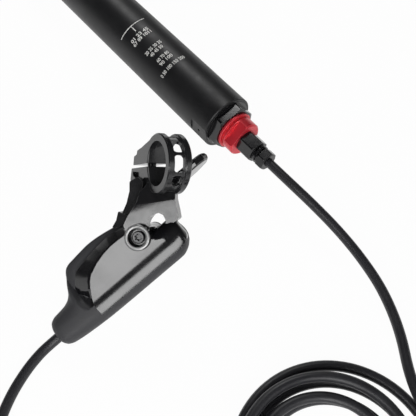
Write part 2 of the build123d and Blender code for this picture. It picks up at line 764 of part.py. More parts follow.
bladder_size = [size - 2 * bladder_gap for size in reservoir_size]
with BuildPart() as reservoir_bladder:
    with BuildSketch(level(-body_depth, *reservoir_centre)):
        RectangleRounded(*bladder_size, reservoir_fillet)
    extrude(amount=reservoir_depth - bladder_gap)
    with BuildSketch(level(-body_depth, *reservoir_centre)):
        RectangleRounded(*[size - 2 * bladder_wall for size in bladder_size], reservoir_fillet / 2)
    extrude(amount=reservoir_depth - bladder_gap - bladder_wall, mode=Mode.SUBTRACT)
finish(reservoir_bladder, "reservoir_bladder")

cover_size = [size + 2 * cover_margin for size in reservoir_size]
with BuildPart() as reservoir_cover:
    with BuildSketch(level(-body_depth, *reservoir_centre)):
        RectangleRounded(*cover_size, reservoir_fillet)
    extrude(amount=-cover_thickness)
    chamfer(reservoir_cover.faces().sort_by(Axis(front, remote_plane.z_dir))[0].edges(), foot_chamfer)
    for place in cover_screw_places:
        rod(level(-body_depth, *place), -cover_thickness, cover_screw_od, mode=Mode.SUBTRACT)
finish(reservoir_cover, "reservoir_cover")

with BuildPart() as cover_screws:
    for place in cover_screw_places:
        rod(level(-body_depth - cover_thickness, *place), cover_screw_length, cover_screw_od)
        rod(level(-body_depth - cover_thickness, *place), -cover_screw_head, cover_screw_head_od)
finish(cover_screws, "cover_screws")

with BuildPart() as bleed_screw:
    rod(level(-body_depth, *bleed_screw_place), bleed_screw_length, bleed_screw_od)
    rod(level(-body_depth, *bleed_screw_place), -bleed_screw_head, bleed_screw_head_od)
finish(bleed_screw, "bleed_screw")

# End cap, domed, with a spigot in the master cylinder
with BuildPart() as end_cap:
    rod(barrel_plane(barrel_end), end_cap_length, 2 * barrel_radius)
    fillet(end_cap.edges().sort_by(Axis(front, remote_plane.x_dir))[-1], end_cap_round)
    rod(barrel_plane(barrel_end), -end_cap_spigot, master_bore)
finish(end_cap, "end_cap")

# Rubber boot over the hose end, with shallow ribs, and the hose's compression nut inside it
with BuildPart() as hose_boot:
    revolve(boot_profile(), barrel_axis)
    rib_pitch = boot_rib_width + boot_rib_width
    for rib in range(boot_rib_count):
        rib_start = boot_end + boot_rib_width + rib * rib_pitch
        rib_bed = 2 * (boot_end_radius - boot_rib_depth)
        rod(barrel_plane(rib_start), boot_rib_width, 4 * barrel_radius, rib_bed, Mode.SUBTRACT)
    rod(barrel_plane(boot_end), boot_length, boot_bore, mode=Mode.SUBTRACT)
    rod(barrel_plane(barrel_start), -remote_nut_length / 2, remote_nut_od, mode=Mode.SUBTRACT)
finish(hose_boot, "hose_boot")

with BuildPart() as remote_hose_nut:
    rod(barrel_plane(barrel_start + remote_nut_length / 2), -remote_nut_length, remote_nut_od, barb_bore)
finish(remote_hose_nut, "remote_hose_nut")

# Bar clamp: two bands joined by webs, jaws with a bolt, and the bracket down to the remote
with BuildPart() as bar_clamp:
    rod(ring_plane, -ring_width, ring_od)
    web_width = ring_width - 2 * band_width
    web_od = ring_od - ring_wall / 2
    rod(ring_plane.offset(-band_width), -web_width, ring_od + ring_wall, web_od, Mode.SUBTRACT)
    with BuildSketch(ring_plane):
        with Locations(((jaw_start + jaw_reach) / 2, 0)):
            RectangleRounded(jaw_reach - jaw_start, 2 * jaw_height, jaw_round)
    extrude(amount=-ring_width)
    plate(level(bracket_top - bracket_thickness), bracket_thickness, bracket_outline)
    plate(level(arm_top - arm_depth), arm_depth, arm_outline)
    plate(level(lug_top - lug_depth), lug_depth, lug_outline)
    plate(level(bracket_top - 2 * bracket_thickness), 3 * bracket_thickness, window_outline, Mode.SUBTRACT)
    rod(ring_plane.offset(2 * ring_width), -4 * ring_width, bar_diameter, mode=Mode.SUBTRACT)
    with BuildSketch(ring_plane):
        with Locations((jaw_reach, 0)):
            Rectangle(2 * (jaw_reach - bar_radius / 2), split_gap)
    extrude(amount=-ring_width, mode=Mode.SUBTRACT)
    for angle, reach in web_windows:
        turn = math.radians(angle)
        direction = ring_plane.x_dir * math.cos(turn) + ring_plane.y_dir * math.sin(turn)
        centre = ring_plane.origin - ring_plane.z_dir * (ring_width / 2)
        with BuildSketch(Plane(origin=centre, x_dir=ring_plane.z_dir, z_dir=direction)):
            window_length = 2 * bar_radius * math.radians(reach)
            SlotOverall(window_length, web_width * web_window_height_share, rotation=90)
        extrude(amount=ring_od, mode=Mode.SUBTRACT)
    bolt_middle = ring_plane.from_local_coords(Vector(clamp_bolt_reach, 0, -ring_width / 2))
    bolt_plane = Plane(origin=bolt_middle, x_dir=ring_plane.x_dir, z_dir=-ring_plane.y_dir)
    rod(bolt_plane.offset(-jaw_height), 2 * jaw_height, clamp_bolt_od, mode=Mode.SUBTRACT)
    head_seat = bolt_plane.offset(jaw_height - clamp_bolt_head_height)
    rod(head_seat, ring_od, clamp_bolt_head_od, mode=Mode.SUBTRACT)
    rod(level(bracket_top - 2 * body_depth), 4 * body_depth, pivot_bolt_od, mode=Mode.SUBTRACT)
    barrel_room = 2 * (barrel_radius + slide_gap)
    rod(barrel_plane(barrel_start), 2 * (barrel_end - barrel_start), barrel_room, mode=Mode.SUBTRACT)
finish(bar_clamp, "bar_clamp")

with BuildPart() as clamp_bolt:
    rod(bolt_plane.offset(-jaw_height), 2 * jaw_height - clamp_bolt_head_height, clamp_bolt_od)
    rod(head_seat, clamp_bolt_head_height, clamp_bolt_head_od)
    hex_socket(head_seat.offset(clamp_bolt_head_height / 2), clamp_bolt_head_height, clamp_bolt_key)
finish(clamp_bolt, "clamp_bolt")

# Pivot bolt through the boss, the bracket, the body and the lever's hub, with a nut
bolt_seat = boss_height - boss_recess_depth
hub_bottom = hub_top - hub_depth
with BuildPart() as pivot_bolt:
    nut_bottom = hub_bottom - pivot_nut_height - slide_gap
    rod(level(nut_bottom), bolt_seat - nut_bottom, pivot_bolt_od)
    rod(level(bolt_seat), pivot_head_height, pivot_head_od)
    chamfer(pivot_bolt.edges().sort_by(Axis(front, remote_plane.z_dir))[-1], foot_chamfer)
    hex_socket(level(bolt_seat + pivot_head_height / 3), pivot_head_height, pivot_socket)
finish(pivot_bolt, "pivot_bolt")

with BuildPart() as pivot_nut:
    rod(level(hub_bottom - slide_gap), -pivot_nut_height, pivot_nut_od, pivot_bolt_od)
finish(pivot_nut, "pivot_nut")

# Thumb lever: a hub with a finger lobe, an arm and a broad paddle below the bar
bush_od = pivot_bolt_od + 2 * slide_gap + 2 * bush_wall
with BuildPart() as lever:
    rod(level(hub_bottom), hub_depth, 2 * hub_radius)
    with BuildSketch(level(hub_top - lobe_thickness)):
        with Locations((0, -lobe_reach)):
            Circle(lobe_radius)
        with Locations((0, -lobe_reach / 2)):
            Rectangle(2 * lobe_radius, lobe_reach)
    extrude(amount=lobe_thickness)
    plate(level(arm_plate_top - arm_plate_thickness), arm_plate_thickness, lever_arm_outline)
    paddle_plane = Plane(
        origin=remote_plane.from_local_coords(Vector(0, paddle_side, 0)),
        x_dir=remote_plane.x_dir,
        z_dir=-remote_plane.y_dir,
    )
    plate(paddle_plane, -paddle_thickness, paddle_outline)
    rod(level(hub_bottom), hub_depth, bush_od, mode=Mode.SUBTRACT)
    rod(level(hub_bottom, 0, -lobe_reach), hub_depth, cam_pin_od, mode=Mode.SUBTRACT)
finish(lever, "lever")

with BuildPart() as lever_bush:
    rod(level(hub_bottom), hub_depth, bush_od, pivot_bolt_od + 2 * slide_gap)
finish(lever_bush, "lever_bush")

with BuildPart() as cam_pin:
    rod(level(hub_top - lobe_thickness, 0, -lobe_reach), cam_pin_top - hub_top + lobe_thickness, cam_pin_od)
finish(cam_pin, "cam_pin")

# Pushrod with a cross slot for the cam pin, and the master piston that it pushes
slider_od = master_bore - 2 * slide_gap
with BuildPart() as pushrod:
    rod(barrel_plane(pushrod_start), pushrod_length, slider_od)
    with BuildSketch(level(bore_depth - master_bore, 0, bore_across)):
        Rectangle(pushrod_slot, 2 * master_bore)
    extrude(amount=cam_pin_top - bore_depth + master_bore + foot_chamfer, mode=Mode.SUBTRACT)
finish(pushrod, "pushrod")

master_start = pushrod_start + pushrod_length
with BuildPart() as master_piston:
    rod(barrel_plane(master_start), master_piston_length, slider_od)
    seal_start = master_start + (master_piston_length - master_seal_length) / 2
    master_seal_bed = slider_od - 2 * master_seal_wall
    rod(barrel_plane(seal_start), master_seal_length, 2 * master_bore, master_seal_bed, Mode.SUBTRACT)
finish(master_piston, "master_piston")

with BuildPart() as master_seal:
    rod(barrel_plane(seal_start), master_seal_length, slider_od, master_seal_bed)
finish(master_seal, "master_seal")

# Hose coil: it spirals in on the top layer, sinks a layer while it turns back, and spirals out below
total_turns = top_turns + climb_turns + bottom_turns
floor_height = floor_level + hose_od / 2


def winding(turn):
    """The coil's centre line, as a place for a number of turns."""
    if turn < top_turns:
        radius = coil_top_radius + (coil_inner_radius - coil_top_radius) * turn / top_turns
        rise = 1.0
    elif turn < top_turns + climb_turns:
        radius = coil_inner_radius
        share = (turn - top_turns) / climb_turns
        rise = (1 + math.cos(math.pi * share)) / 2
    else:
        share = (turn - top_turns - climb_turns) / bottom_turns
        radius = coil_inner_radius + (coil_outer_radius - coil_inner_radius) * share
        rise = 0.0
    angle = math.radians(coil_start_angle - 360 * turn)
    drift = drift_share * (coil_outer_radius - radius)
    drift_way = math.radians(drift_angle)
    return Vector(
        coil_centre[0] + drift * math.cos(drift_way) + radius * math.cos(angle),
        coil_centre[1] + drift * math.sin(drift_way) + radius * math.sin(angle),
        floor_height + layer_rise * rise,
    )


def heading(turn):
    """The direction of the coil's centre line."""
    return (winding(turn + heading_step) - winding(turn - heading_step)).normalized()


def biarc(start, start_way, end, end_way):
    """Two tangent arcs between two places with given directions."""
    chord = end - start
    ways = start_way + end_way
    spread = 2 * (1 - start_way.dot(end_way))
    reach = (math.sqrt(chord.dot(ways) ** 2 + spread * chord.dot(chord)) - chord.dot(ways)) / spread
    near = start + start_way * reach
    far = end - end_way * reach
    middle = (near + far) * 0.5
    TangentArc(start, middle, tangent=start_way)
    TangentArc(middle, end, tangent=far - near)


coil_begin = winding(0) - heading(0) * hose_od
coil_finish = winding(total_turns) + heading(total_turns) * hose_od
quarter_turns = [quarter / 4 for quarter in range(int(4 * total_turns))] + [total_turns]
with BuildPart() as hose_coil:
    with BuildLine() as coil_path:
        Line(coil_begin, winding(0))
        for here, there in zip(quarter_turns, quarter_turns[1:]):
            biarc(winding(here), heading(here), winding(there), heading(there))
        Line(winding(total_turns), coil_finish)
    with BuildSketch(Plane(origin=coil_begin, z_dir=heading(0))):
        Circle(hose_od / 2)
    sweep()
finish(hose_coil, "hose_coil")
coil_length = coil_path.wires()[0].length


def lead(points, name):
    """A free stretch of hose: straight runs joined by tangent arcs as large as the runs allow."""
    radii = []
    for before, here, after in zip(points, points[1:], points[2:]):
        turn = (here - before).get_angle(after - here)
        run = min((here - before).length, (after - here).length)
        radii.append(corner_share * run / math.tan(math.radians(turn) / 2))
    with BuildPart() as tube:
        with BuildLine() as path:
            FilletPolyline(*points, radius=radii)
        with BuildSketch(Plane(origin=points[0], z_dir=points[1] - points[0])):
            Circle(hose_od / 2)
        sweep()
    print(name, "radii", [round(radius) for radius in radii], "length", round(path.wires()[0].length, 1))
    tube_volume = path.wires()[0].length * math.pi * hose_od**2 / 4
    print(name, "volume share", round(tube.part.volume / tube_volume, 4))
    finish(tube, name)
    return path.wires()[0].length


post_points = [Vector(nut_end, 0, 0)] + [Vector(*point) for point in post_lead_route]
post_points += [coil_begin - heading(0) * lead_last_run, coil_begin]
post_lead_length = lead(post_points, "hose_post_lead")

boot_exit = barrel_plane(boot_end).origin
remote_points = [boot_exit, boot_exit - remote_plane.x_dir * remote_exit_run]
remote_points += [Vector(*point) for point in remote_lead_route]
remote_points += [coil_finish + heading(total_turns) * lead_last_run, coil_finish]
remote_lead_length = lead(remote_points, "hose_remote_lead")

samples_per_turn = 90
samples = [winding(step / samples_per_turn) for step in range(int(total_turns * samples_per_turn))]
self_gap = min(
    (one - other).length - hose_od
    for place, one in enumerate(samples)
    for other in samples[place + samples_per_turn // 2 :]
)
print("coil least self gap", round(self_gap, 2), "length", round(coil_length, 1))
print("hose length", round(post_lead_length + coil_length + remote_lead_length, 1))
print("mounts", "bar", ring_plane.origin, ring_plane.z_dir, "pivot", remote_plane.origin, remote_plane.z_dir)
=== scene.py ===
"""Dresses the hydraulic dropper seatpost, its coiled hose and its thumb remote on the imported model."""
import json
import math

import bmesh
import bpy
from bpy.props import FloatProperty, FloatVectorProperty, PointerProperty
from mathutils import Matrix, Vector

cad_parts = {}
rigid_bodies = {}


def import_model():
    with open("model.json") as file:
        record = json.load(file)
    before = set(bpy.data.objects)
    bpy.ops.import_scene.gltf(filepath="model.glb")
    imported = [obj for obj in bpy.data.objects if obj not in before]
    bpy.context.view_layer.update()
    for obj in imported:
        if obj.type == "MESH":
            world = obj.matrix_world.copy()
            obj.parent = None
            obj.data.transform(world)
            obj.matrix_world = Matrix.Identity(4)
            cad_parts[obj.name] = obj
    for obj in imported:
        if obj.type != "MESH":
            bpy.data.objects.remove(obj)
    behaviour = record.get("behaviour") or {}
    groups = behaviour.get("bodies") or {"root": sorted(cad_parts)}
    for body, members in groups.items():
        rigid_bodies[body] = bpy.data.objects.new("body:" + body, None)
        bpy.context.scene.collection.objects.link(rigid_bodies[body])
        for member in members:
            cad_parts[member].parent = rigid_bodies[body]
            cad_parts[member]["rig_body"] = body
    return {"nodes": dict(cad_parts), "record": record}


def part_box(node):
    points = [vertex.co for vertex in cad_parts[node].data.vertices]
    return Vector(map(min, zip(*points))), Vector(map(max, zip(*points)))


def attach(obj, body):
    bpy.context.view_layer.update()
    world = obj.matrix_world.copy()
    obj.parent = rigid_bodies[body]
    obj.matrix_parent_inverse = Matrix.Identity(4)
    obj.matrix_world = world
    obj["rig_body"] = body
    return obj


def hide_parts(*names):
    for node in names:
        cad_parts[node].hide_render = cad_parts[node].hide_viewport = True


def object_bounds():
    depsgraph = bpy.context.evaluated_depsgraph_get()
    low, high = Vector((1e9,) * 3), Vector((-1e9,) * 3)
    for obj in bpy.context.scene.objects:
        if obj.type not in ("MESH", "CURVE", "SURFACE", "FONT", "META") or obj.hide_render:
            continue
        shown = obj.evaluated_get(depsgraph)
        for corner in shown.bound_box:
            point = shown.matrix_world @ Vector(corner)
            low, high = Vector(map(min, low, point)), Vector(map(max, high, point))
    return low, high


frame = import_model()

bl_info = {
    "name": "Dropper seatpost",
    "version": (1, 0, 0),
    "blender": (4, 5, 0),
    "location": "View3D > Sidebar > Seatpost",
    "description": "Builds the visible pieces and finishes of a dropper seatpost with its remote",
    "category": "Object",
}

CAD_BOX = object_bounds()

# Drawings are in millimetres, and MM brings them to the frame's metres
MM = 0.001

# Corners closer than WELD or MERGE become one, and faces within FLAT degrees become one flat
WELD = 0.001
MERGE = 0.004
FLAT = 0.05
SHARP = 38
TURN_STEPS = 96
CIRCLE_STEPS = 48
ROUND_STEPS = 6
BEVEL_STEPS = 3
FLOOR = CAD_BOX[0].z / MM


def reach(node, axis):
    """A node's lowest and highest place along an axis, in millimetres."""
    low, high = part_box(node)
    return low[axis] / MM, high[axis] / MM


TUBE_TOP, TUBE_FOOT = reach("lower_tube", 0)
TUBE_RADIUS = reach("lower_tube", 2)[1]
FOOT_FACE = reach("foot_nut", 0)[1]
ADAPTER_FACE = reach("hose_adapter", 0)[1]
COUPLING_FACE = reach("hose_nut", 0)[0]
NUT_FACE = reach("hose_nut", 0)[1]

# The remote's own frame: X from its hose end to its end cap, Y towards the bar clamp, Z out of its face
REMOTE_PLACE = (40.1, -86.3, 25.6)
REMOTE_RUN = (0.1086, 0.8807, 0.4610)
REMOTE_FACE = (0.3384, -0.4688, 0.8159)
BORE = Vector((0, -10.4, -8.0))
BOOT_END = -60.8
RING_FRONT = Vector((27.7, 19.6, -0.3))
RING_AXIS = Vector((-0.587, 0.533, 0.610))
RING_SPLIT = Vector((-0.493, 0.363, -0.791))


def frame_of(origin, x_way, z_way):
    """The matrix of a frame with its X as near x_way as its Z allows."""
    z = Vector(z_way).normalized()
    x = Vector(x_way)
    x = (x - z * x.dot(z)).normalized()
    turned_to = Matrix((x, z.cross(x), z)).transposed().to_4x4()
    turned_to.translation = Vector(origin)
    return turned_to


# Frames that the pieces are drawn in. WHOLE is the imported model's own and POST has Z along the tube.
# ALONG_BORE has Z along the remote's cylinder and is given in the remote's frame. RING has Z along
# the bar and X towards the split
WHOLE = Matrix.Identity(4)
POST = frame_of((0, 0, 0), (0, 1, 0), (1, 0, 0))
REMOTE = frame_of(REMOTE_PLACE, REMOTE_RUN, REMOTE_FACE)
ALONG_BORE = frame_of(BORE, (0, 1, 0), (1, 0, 0))
RING = REMOTE @ frame_of(RING_FRONT, RING_SPLIT, RING_AXIS)


# Forms. Each makes a mesh in millimetres in its own frame


def to_mesh(form):
    """A plain mesh of a form with its faces turned out and shaded smooth."""
    bmesh.ops.recalc_face_normals(form, faces=form.faces)
    for face in form.faces:
        face.smooth = True
    mesh = bpy.data.meshes.new("form")
    form.to_mesh(mesh)
    form.free()
    return mesh


def turned(profile):
    """A closed profile of (along, radius) turned about Z."""
    form = bmesh.new()
    rings = []
    for along, radius in profile:
        if radius:
            angles = [2 * math.pi * step / TURN_STEPS for step in range(TURN_STEPS)]
            places = [(radius * math.cos(a), radius * math.sin(a), along) for a in angles]
        else:
            places = [(0, 0, along)]
        rings.append([form.verts.new(place) for place in places])
    for here, there in zip(rings, rings[1:] + rings[:1]):
        if len(here) == len(there) == 1:
            continue
        for step in range(TURN_STEPS):
            corners = [
                here[step % len(here)], here[(step + 1) % len(here)],
                there[(step + 1) % len(there)], there[step % len(there)],
            ]
            form.faces.new(list(dict.fromkeys(corners)))
    return to_mesh(form)


def stacked(outlines, weld=0.0):
    """A block through outlines of (x, y, z) places with the same count, closed flat at both ends."""
    form = bmesh.new()
    rings = [[form.verts.new(place) for place in outline] for outline in outlines]
    count = len(rings[0])
    for here, there in zip(rings, rings[1:]):
        for step in range(count):
            after = (step + 1) % count
            form.faces.new((here[step], here[after], there[after], there[step]))
    form.faces.new(rings[0])
    form.faces.new(rings[-1])
    if weld:
        bmesh.ops.remove_doubles(form, verts=form.verts, dist=weld)
    return to_mesh(form)


def block(outline, low, high):
    """A straight block of an outline."""
    return stacked([[(x, y, level) for x, y in outline] for level in (low, high)])


def rounded(outline, radius, steps=ROUND_STEPS):
    """The outline with its corners rounded, with the same count of places at each corner."""
    made = []
    count = len(outline)
    for index in range(count):
        before, here, after = (Vector(outline[(index + k) % count]) for k in (-1, 0, 1))
        back, on = (before - here), (after - here)
        half = back.angle(on) / 2
        cut = min(radius / math.tan(half), 0.45 * back.length, 0.45 * on.length)
        start, end = here + back.normalized() * cut, here + on.normalized() * cut
        for step in range(steps + 1):
            share = step / steps
            made.append(
                tuple(start * (1 - share) ** 2 + here * 2 * share * (1 - share) + end * share**2)
            )
    return made


def inset(outline, distance):
    """The outline moved inwards by a distance, whichever way round its corners run."""
    count = len(outline)
    area = sum(
        Vector(outline[k]).cross(Vector(outline[(k + 1) % count])) for k in range(count)
    )
    side = 1 if area > 0 else -1
    made = []
    for index in range(count):
        before, here, after = (Vector(outline[(index + k) % count]) for k in (-1, 0, 1))
        one, other = (here - before).normalized(), (after - here).normalized()
        normal_one = Vector((-one.y, one.x)) * side
        normal_other = Vector((-other.y, other.x)) * side
        bisector = (normal_one + normal_other).normalized()
        made.append(tuple(here + bisector * distance / max(bisector.dot(normal_one), 0.3)))
    return made


def polygon(sides, across_flats, turn=0.0):
    """A regular outline with flats that far apart."""
    radius = across_flats / 2 / math.cos(math.pi / sides)
    angles = [turn + 2 * math.pi * (step + 0.5) / sides for step in range(sides)]
    return [(radius * math.cos(angle), radius * math.sin(angle)) for angle in angles]


def circle(radius):
    """A round outline."""
    angles = [2 * math.pi * step / CIRCLE_STEPS for step in range(CIRCLE_STEPS)]
    return [(radius * math.cos(angle), radius * math.sin(angle)) for angle in angles]


def moved(mesh, matrix):
    """The mesh moved by a matrix."""
    mesh.transform(matrix)
    return mesh


def worked(mesh, dress):
    """The mesh after the modifiers that dress adds to a holder of it."""
    holder = bpy.data.objects.new("holder", mesh)
    bpy.context.scene.collection.objects.link(holder)
    dress(holder)
    graph = bpy.context.evaluated_depsgraph_get()
    made = bpy.data.meshes.new_from_object(holder.evaluated_get(graph))
    bpy.data.objects.remove(holder)
    return made


def combined(mesh, *others, operation="DIFFERENCE"):
    """The mesh with others cut from it, joined to it or kept in common with it."""
    for other in others:
        tool = bpy.data.objects.new("tool", other)
        bpy.context.scene.collection.objects.link(tool)

        def dress(holder):
            step = holder.modifiers.new("step", "BOOLEAN")
            step.operation, step.object, step.solver = operation, tool, "EXACT"

        mesh = worked(mesh, dress)
        bpy.data.objects.remove(tool)
    return mesh


def eased(mesh, width, angle=30):
    """The mesh with its sharp edges rounded and its flats shaded flat."""

    def round_edges(holder):
        bevel = holder.modifiers.new("edges", "BEVEL")
        bevel.width, bevel.segments = width, BEVEL_STEPS
        bevel.limit_method, bevel.angle_limit = "ANGLE", math.radians(angle)
        bevel.miter_outer = "MITER_ARC"

    def shade(holder):
        holder.modifiers.new("shading", "WEIGHTED_NORMAL").keep_sharp = True

    form = bmesh.new()
    form.from_mesh(mesh)
    bmesh.ops.remove_doubles(form, verts=form.verts, dist=MERGE)
    bmesh.ops.dissolve_degenerate(form, edges=form.edges, dist=MERGE)
    bmesh.ops.dissolve_limit(form, angle_limit=math.radians(FLAT), verts=form.verts, edges=form.edges)
    form.to_mesh(mesh)
    form.free()
    made = worked(mesh, round_edges)
    for face in made.polygons:
        face.use_smooth = True
    made.set_sharp_from_angle(angle=math.radians(SHARP))
    return worked(made, shade)


def node_form(node):
    """A mesh in millimetres of a CAD node."""
    form = bmesh.new()
    form.from_mesh(frame["nodes"][node].data)
    bmesh.ops.scale(form, vec=(1 / MM,) * 3, verts=form.verts)
    return to_mesh(form)


def place(name, mesh, at, body, slot, replaced=(), finish=None):
    """Sets a mesh that is drawn in a frame into the scene, as a piece that rides on a body."""
    mesh.transform(Matrix.Scale(MM, 4) @ at)
    mesh.name = name
    mesh.materials.clear()
    mesh.materials.append(finish or finish_for(slot))
    piece = bpy.data.objects.new(name, mesh)
    bpy.context.scene.collection.objects.link(piece)
    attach(piece, body)
    if replaced:
        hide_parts(*replaced)
    return piece


# Finishes
CLOUD_SCALE = 90.0
CLOUD_SPAN = (0.3, 0.7)
TINT_GAIN = 1.35
TINT_LIFT = 0.004
BUMP_DISTANCE = 0.2

# Edges are painted lighter where the normals, rounded over this many millimetres, part by these shares:
# partly real wear, partly a painted highlight along the rims and fittings
WEAR_AND_HIGHLIGHT_WIDTH = 0.35
WEAR_AND_HIGHLIGHT_SPAN = (0.97, 0.80)
WORN_METAL_AND_HIGHLIGHT = (0.42, 0.42, 0.43)

# Each slot's finish: its name, its colour or the property that holds it, metal, roughness, the grain's
# size in millimetres, the grain's depth, and what else sets it apart
# The edge colours below are partly real wear and partly a painted highlight along rims and fittings
FINISHES = {
    "satin_black_anodised": (
        "Satin_black_anodising", "satin_black", 0.0, 0.46, 0.12, 0.05,
        {"wear_and_highlight_colour": WORN_METAL_AND_HIGHLIGHT, "wear_and_highlight_share": 0.2, "specular": 0.45},
    ),
    "gloss_black_anodised": (
        "Gloss_black_casting", "gloss_black", 0.0, 0.15, 0.5, 0.02,
        {"vary": 0.03, "wear_and_highlight_colour": WORN_METAL_AND_HIGHLIGHT, "wear_and_highlight_share": 0.12, "specular": 0.6},
    ),
    "grey_machined": (
        "Grey_blasted_alloy", "clamp_grey", 0.0, 0.19, 0.15, 0.03,
        {"wear_and_highlight_colour": WORN_METAL_AND_HIGHLIGHT, "wear_and_highlight_share": 0.2, "specular": 0.6},
    ),
    "red_anodised": ("Red_anodising", "red", 0.3, 0.34, 0.2, 0.05, {"wear_and_highlight_colour": (0.9, 0.35, 0.3), "wear_and_highlight_share": 0.5}),
    "black_steel": (
        "Blackened_steel", "gloss_black", 0.2, 0.24, 0.25, 0.02,
        {"wear_and_highlight_colour": WORN_METAL_AND_HIGHLIGHT, "wear_and_highlight_share": 0.4, "specular": 0.6},
    ),
    "bright_steel": ("Bright_steel", "steel", 1.0, 0.22, 0.2, 0.06, {"rings": 0.3}),
    "black_rubber": ("Boot_rubber", "rubber", 0.0, 0.55, 0.35, 0.2, {"specular": 0.4}),
    "black_hose": ("Hose_jacket", "hose", 0.0, 0.42, 0.5, 0.02, {"specular": 0.45}),
    "bronze_bush": ("Bronze", (0.45, 0.28, 0.11), 1.0, 0.35, 0.3, 0.1, {}),
    "white_plastic": ("Bush_plastic", (0.7, 0.7, 0.66), 0.0, 0.5, 0.4, 0.1, {}),
}


def wire(tree, kind, values=(), links=(), **settings):
    """A shader node with its settings, socket values and links."""
    made = tree.nodes.new(kind)
    for key, value in settings.items():
        setattr(made, key, value)
    for socket, value in dict(values).items():
        made.inputs[socket].default_value = value
    for socket, source in dict(links).items():
        tree.links.new(source, made.inputs[socket])
    return made


def maths(tree, operation, one, other):
    """The value that a maths step makes of two others."""
    step = wire(tree, "ShaderNodeMath", {}, {0: one, 1: other}, operation=operation)
    return step.outputs["Value"]


def surface(name, colour, metal, roughness, grain, grain_depth, vary=0.06, wear_and_highlight_colour=None, wear_and_highlight_share=0.0,
            specular=0.5, rings=None):
    """A finish with fine grain, uneven roughness, and lighter edges that are partly wear and partly a
    painted highlight.
    """
    known = bpy.data.materials.get(name)
    if known:
        return known
    material = bpy.data.materials.new(name)
    material.use_nodes = True
    material.diffuse_color = (*colour, 1)
    tree = material.node_tree
    shader = tree.nodes["Principled BSDF"]
    shader.inputs["Metallic"].default_value = metal
    shader.inputs["Specular IOR Level"].default_value = specular
    spot = wire(tree, "ShaderNodeTexCoord").outputs["Object"]
    clouds = wire(
        tree, "ShaderNodeTexNoise", {"Scale": CLOUD_SCALE, "Detail": 4.0, "Roughness": 0.6},
        {"Vector": spot},
    )
    gloss = wire(
        tree, "ShaderNodeMapRange",
        {
            "From Min": CLOUD_SPAN[0], "From Max": CLOUD_SPAN[1],
            "To Min": roughness - vary, "To Max": roughness + vary,
        },
        {"Value": clouds.outputs["Fac"]},
    )
    tree.links.new(gloss.outputs["Result"], shader.inputs["Roughness"])
    specks = wire(
        tree, "ShaderNodeTexNoise", {"Scale": 1 / (grain * MM), "Detail": 3.0}, {"Vector": spot}
    )
    height = specks.outputs["Fac"]
    if rings:
        cuts = wire(
            tree, "ShaderNodeTexWave", {"Scale": 1 / (rings * MM) / 20, "Distortion": 0.4, "Detail": 2.0},
            {"Vector": spot}, wave_type="BANDS", bands_direction="X",
        )
        height = maths(tree, "ADD", height, cuts.outputs["Fac"])
    bump = wire(
        tree, "ShaderNodeBump", {"Strength": grain_depth, "Distance": BUMP_DISTANCE * MM},
        {"Height": height},
    )
    tree.links.new(bump.outputs["Normal"], shader.inputs["Normal"])
    tint = wire(
        tree, "ShaderNodeMix",
        {"A": (*colour, 1), "B": (*[min(1, c * TINT_GAIN + TINT_LIFT) for c in colour], 1)},
        {"Factor": clouds.outputs["Fac"]}, data_type="RGBA",
    )
    shade = tint.outputs["Result"]
    # The edge mask mixes in a lighter colour: partly real wear, partly a painted highlight
    if wear_and_highlight_colour:
        soft = wire(tree, "ShaderNodeBevel", {"Radius": WEAR_AND_HIGHLIGHT_WIDTH * MM}, samples=6)
        crisp = wire(tree, "ShaderNodeNewGeometry")
        fit = wire(
            tree, "ShaderNodeVectorMath", {},
            {0: soft.outputs["Normal"], 1: crisp.outputs["Normal"]}, operation="DOT_PRODUCT",
        )
        edge = wire(
            tree, "ShaderNodeMapRange",
            {"From Min": WEAR_AND_HIGHLIGHT_SPAN[0], "From Max": WEAR_AND_HIGHLIGHT_SPAN[1], "To Min": 0.0, "To Max": wear_and_highlight_share},
            {"Value": fit.outputs["Value"]},
        )
        shade = wire(
            tree, "ShaderNodeMix", {"B": (*wear_and_highlight_colour, 1)},
            {"Factor": edge.outputs["Result"], "A": shade}, data_type="RGBA",
        ).outputs["Result"]
    tree.links.new(shade, shader.inputs["Base Color"])
    return material


def finish_for(slot):
    """The finish of one of the record's material slots."""
    name, colour, metal, roughness, grain, grain_depth, others = FINISHES[slot]
    if isinstance(colour, str):
        colour = getattr(bpy.context.scene.seatpost_finishes, colour)
    return surface(name, colour, metal, roughness, grain, grain_depth, **others)


# Sizes and colours that a user would change


class SeatpostSizes(bpy.types.PropertyGroup):
    """Sizes of the visible pieces."""

    hose_diameter: FloatProperty(
        name="Hose diameter", description="Outside diameter of the hose", unit="LENGTH",
        default=5.0 * MM, min=2.0 * MM, max=8.0 * MM,
    )
    edge_round: FloatProperty(
        name="Casting edge", description="Rounding of the castings' edges", unit="LENGTH",
        default=0.35 * MM, min=0.05 * MM, max=1.0 * MM,
    )
    fitting_round: FloatProperty(
        name="Fitting edge", description="Rounding of the turned fittings' edges", unit="LENGTH",
        default=0.18 * MM, min=0.02 * MM, max=0.5 * MM,
    )
    mark_width: FloatProperty(
        name="Mark width", description="Width of the printed insertion line", unit="LENGTH",
        default=0.6 * MM, min=0.2 * MM, max=2.0 * MM,
    )
    numeral_height: FloatProperty(
        name="Numeral height", description="Height of the printed numerals", unit="LENGTH",
        default=2.4 * MM, min=1.0 * MM, max=6.0 * MM,
    )


